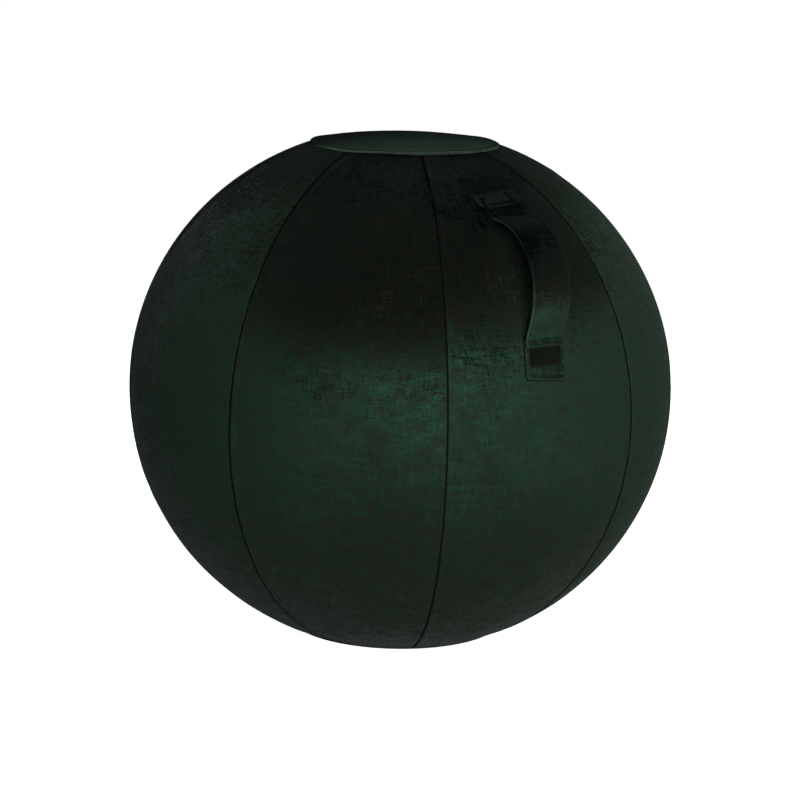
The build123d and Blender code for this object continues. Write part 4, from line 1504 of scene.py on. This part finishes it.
def make_dot_tree():
    tree, given, made = new_tree(
        "grip dots", "GeometryNodeTree",
        inputs=[
            ("Spacing", FLOAT, DOT_SPACING), ("Radius", FLOAT, DOT_RADIUS), ("Field", FLOAT, DOT_FIELD),
            ("Rise", FLOAT, DOT_RISE), ("Rubber", MATERIAL, None),
        ],
        outputs=[("Geometry", GEOMETRY)],
    )
    spacing, radius, field, rise = (Field(tree, socket) for socket in given.outputs[:4])
    count = int(2 * DOT_FIELD / DOT_SPACING) + SPARE_COLUMNS
    rows = int(count / ROW_SPACING) + SPARE_ROWS
    grid = add_node(
        tree, "GeometryNodeMeshGrid", Vertices_X=count, Vertices_Y=rows,
        Size_X=spacing * (count - 1), Size_Y=spacing * ((rows - 1) * ROW_SPACING),
    )
    index = Field(tree, add_node(tree, "GeometryNodeInputIndex").outputs[0])
    odd = index.math("MODULO", float(rows)).math("MODULO", 2.0)
    shift = vector(tree, odd * spacing * 0.5, 0.0, 0.0)
    shifted = add_node(tree, "GeometryNodeSetPosition", Geometry=grid.outputs["Mesh"], Offset=shift)
    place = add_node(tree, "GeometryNodeInputPosition").outputs[0]
    inside = Field(tree, vector_math(tree, "LENGTH", place)).math("LESS_THAN", field)
    sphere = {"Segments": DOT_SIDES, "Rings": DOT_RINGS, "Radius": 1.0}
    ball = add_node(tree, "GeometryNodeMeshUVSphere", **sphere)
    dot = add_node(
        tree, "GeometryNodeTransform", Geometry=ball.outputs["Mesh"],
        Scale=vector(tree, radius, radius, rise), Translation=vector(tree, 0.0, 0.0, rise),
    )
    copies = add_node(
        tree, "GeometryNodeInstanceOnPoints", Points=shifted.outputs[0], Selection=inside,
        Instance=dot.outputs[0],
    )
    return end_tree(tree, made, copies.outputs[0], given.outputs["Rubber"])


dots = bake_tree("grip_dots", bpy.data.meshes.new("seed"), make_dot_tree(), {"Rubber": grip_rubber})
settle(dots, "ball", "base_fabric")
print("grip dots:", len(dots.data.polygons), "faces")

# %% [markdown]
# ## Camera
# The camera was found by fitting the ball's outline, its seams and the cap's edge in the photograph. It
# is a long lens from a little above. The focal length and the ball's centre are kept in pixels of that
# picture, as the fit gave them, and turned into Blender's lens and shift here.

# %% Camera
FRAME_WIDTH = 800
FOCAL_PIXELS = 2693.3
BALL_CENTRE_PIXEL = (400.1, 386.9)
CAMERA_DISTANCE = 3.2486
CAMERA_AZIMUTH = math.radians(-31.91)
CAMERA_ELEVATION = math.radians(11.567)
CAMERA_ROLL = math.radians(1.142)
SENSOR_WIDTH = 36

lens = bpy.data.cameras.new("camera")
lens.sensor_width = SENSOR_WIDTH
lens.lens = FOCAL_PIXELS / FRAME_WIDTH * SENSOR_WIDTH
lens.shift_x = (FRAME_WIDTH / 2 - BALL_CENTRE_PIXEL[0]) / FRAME_WIDTH
lens.shift_y = (BALL_CENTRE_PIXEL[1] - FRAME_WIDTH / 2) / FRAME_WIDTH
camera = bpy.data.objects.new("camera", lens)
bpy.context.scene.collection.objects.link(camera)
view_side = Vector((math.cos(CAMERA_AZIMUTH), math.sin(CAMERA_AZIMUTH), 0))
view_front = Vector((math.sin(CAMERA_AZIMUTH), -math.cos(CAMERA_AZIMUTH), 0))
ball_centre = Vector((0, 0, WIDEST_HEIGHT))
back = view_front * math.cos(CAMERA_ELEVATION) + Vector((0, 0, math.sin(CAMERA_ELEVATION)))


def aimed(spot):
    """Placement at a spot, looking at the middle of the ball."""
    turn = (ball_centre - spot).to_track_quat("-Z", "Y").to_matrix().to_4x4()
    return Matrix.Translation(spot) @ turn


roll = Matrix.Rotation(CAMERA_ROLL, 4, "Z")
camera.matrix_world = aimed(ball_centre + back * CAMERA_DISTANCE) @ roll
bpy.context.scene.camera = camera
print("lens %.1f mm" % lens.lens)

# %% [markdown]
# ## Light
# Velvet shows its lean only under light from one main side, so one wide soft lamp stands low in front:
# cloth that faces forwards is lit and cloth that faces up stays dark. Two weak lamps behind, left and
# right, lift the rims off black, and a small one hidden behind the ball does so for its far side.

# %% Lamps


def add_lamp(name, aside, forwards, height, width, depth, power):
    """Soft rectangular lamp, placed as seen from the camera and aimed at the ball."""
    lamp = bpy.data.lights.new(name, "AREA")
    lamp.shape = "RECTANGLE"
    lamp.size, lamp.size_y, lamp.energy = width, depth, power
    holder = bpy.data.objects.new(name, lamp)
    bpy.context.scene.collection.objects.link(holder)
    holder.matrix_world = aimed(view_side * aside + view_front * forwards + Vector((0, 0, height)))


add_lamp("front lamp", aside=0.75, forwards=2.55, height=0.65, width=1.2, depth=0.6, power=73)
add_lamp("right lamp", aside=2.6, forwards=-1.2, height=1.7, width=1.1, depth=1.0, power=8)
add_lamp("left lamp", aside=-2.3, forwards=-1.2, height=1.7, width=1.2, depth=1.0, power=9)
add_lamp("back lamp", aside=0.0, forwards=-1.7, height=0.27, width=0.6, depth=0.3, power=18)
print("lamps placed")

# %% [markdown]
# ## White surroundings
# The photograph's background is plain white, but a white room would flood the velvet with light. So the
# surroundings are white only to rays that come from the camera or pass through glass, and much weaker to
# the rest. That weak light also fades overhead, so that cloth that faces up stays dark. The floor glows
# for the camera in the same way, a little less near the ball.

# %% World
WORLD_FILL, WORLD_GLOSS = 0.06, 0.25
WALL_FADE_FROM, WALL_FADE_BY = 0.1, 0.75
WHITE = (1, 1, 1, 1)


def ray_kinds(tree):
    """Whether a ray comes from the camera or passes through glass, and whether it is a reflection."""
    path = add_node(tree, "ShaderNodeLightPath")
    kinds = ("Is Camera Ray", "Is Transmission Ray", "Is Glossy Ray")
    camera_ray, glass_ray, gloss_ray = (Field(tree, path.outputs[kind]) for kind in kinds)
    return camera_ray.math("MAXIMUM", glass_ray), gloss_ray


world = bpy.data.worlds.new("surroundings")
bpy.context.scene.world = world
world.use_nodes = True
sky_tree = world.node_tree
sky = next(node for node in sky_tree.nodes if node.type == "BACKGROUND")
sky.inputs["Color"].default_value = WHITE
seen, gloss = ray_kinds(sky_tree)
heading = add_node(sky_tree, "ShaderNodeTexCoord").outputs["Generated"]
(upwards,) = axes(sky_tree, heading, "Z")
wall_light = upwards.ramp(WALL_FADE_FROM, WALL_FADE_BY, 1.0, 0.0)
lit = wall_light * (gloss * (WORLD_GLOSS - WORLD_FILL) + WORLD_FILL)
plug(sky_tree, seen.math("MAXIMUM", lit), sky.inputs["Strength"])
print("world ready")

# %% Floor
FLOOR_HALF = 12
FLOOR_GREY = (0.6, 0.6, 0.6, 1)
FLOOR_GLOW, FLOOR_GLOSS = 0.92, 0.05
WHITE_FROM, WHITE_BY = 0.35, 1.0

corners = [(x * FLOOR_HALF, y * FLOOR_HALF, 0) for x, y in ((-1, -1), (1, -1), (1, 1), (-1, 1))]
floor_paint, paint_tree, paint = new_material("pale floor", roughness=0.9, specular=0.1)
paint.inputs["Base Color"].default_value = FLOOR_GREY
paint.inputs["Emission Color"].default_value = WHITE
seen, gloss = ray_kinds(paint_tree)
from_ball = Field(paint_tree, vector_math(paint_tree, "LENGTH", object_place(paint_tree)))
glow = from_ball.ramp(WHITE_FROM, WHITE_BY, FLOOR_GLOW, 1.0)
plug(paint_tree, seen.math("MAXIMUM", gloss * FLOOR_GLOSS) * glow, paint.inputs["Emission Strength"])
keep("floor", mesh_from("floor", corners, [(0, 1, 2, 3)]), floor_paint)
bpy.context.scene.view_settings.view_transform = "Standard"
print("floor ready")
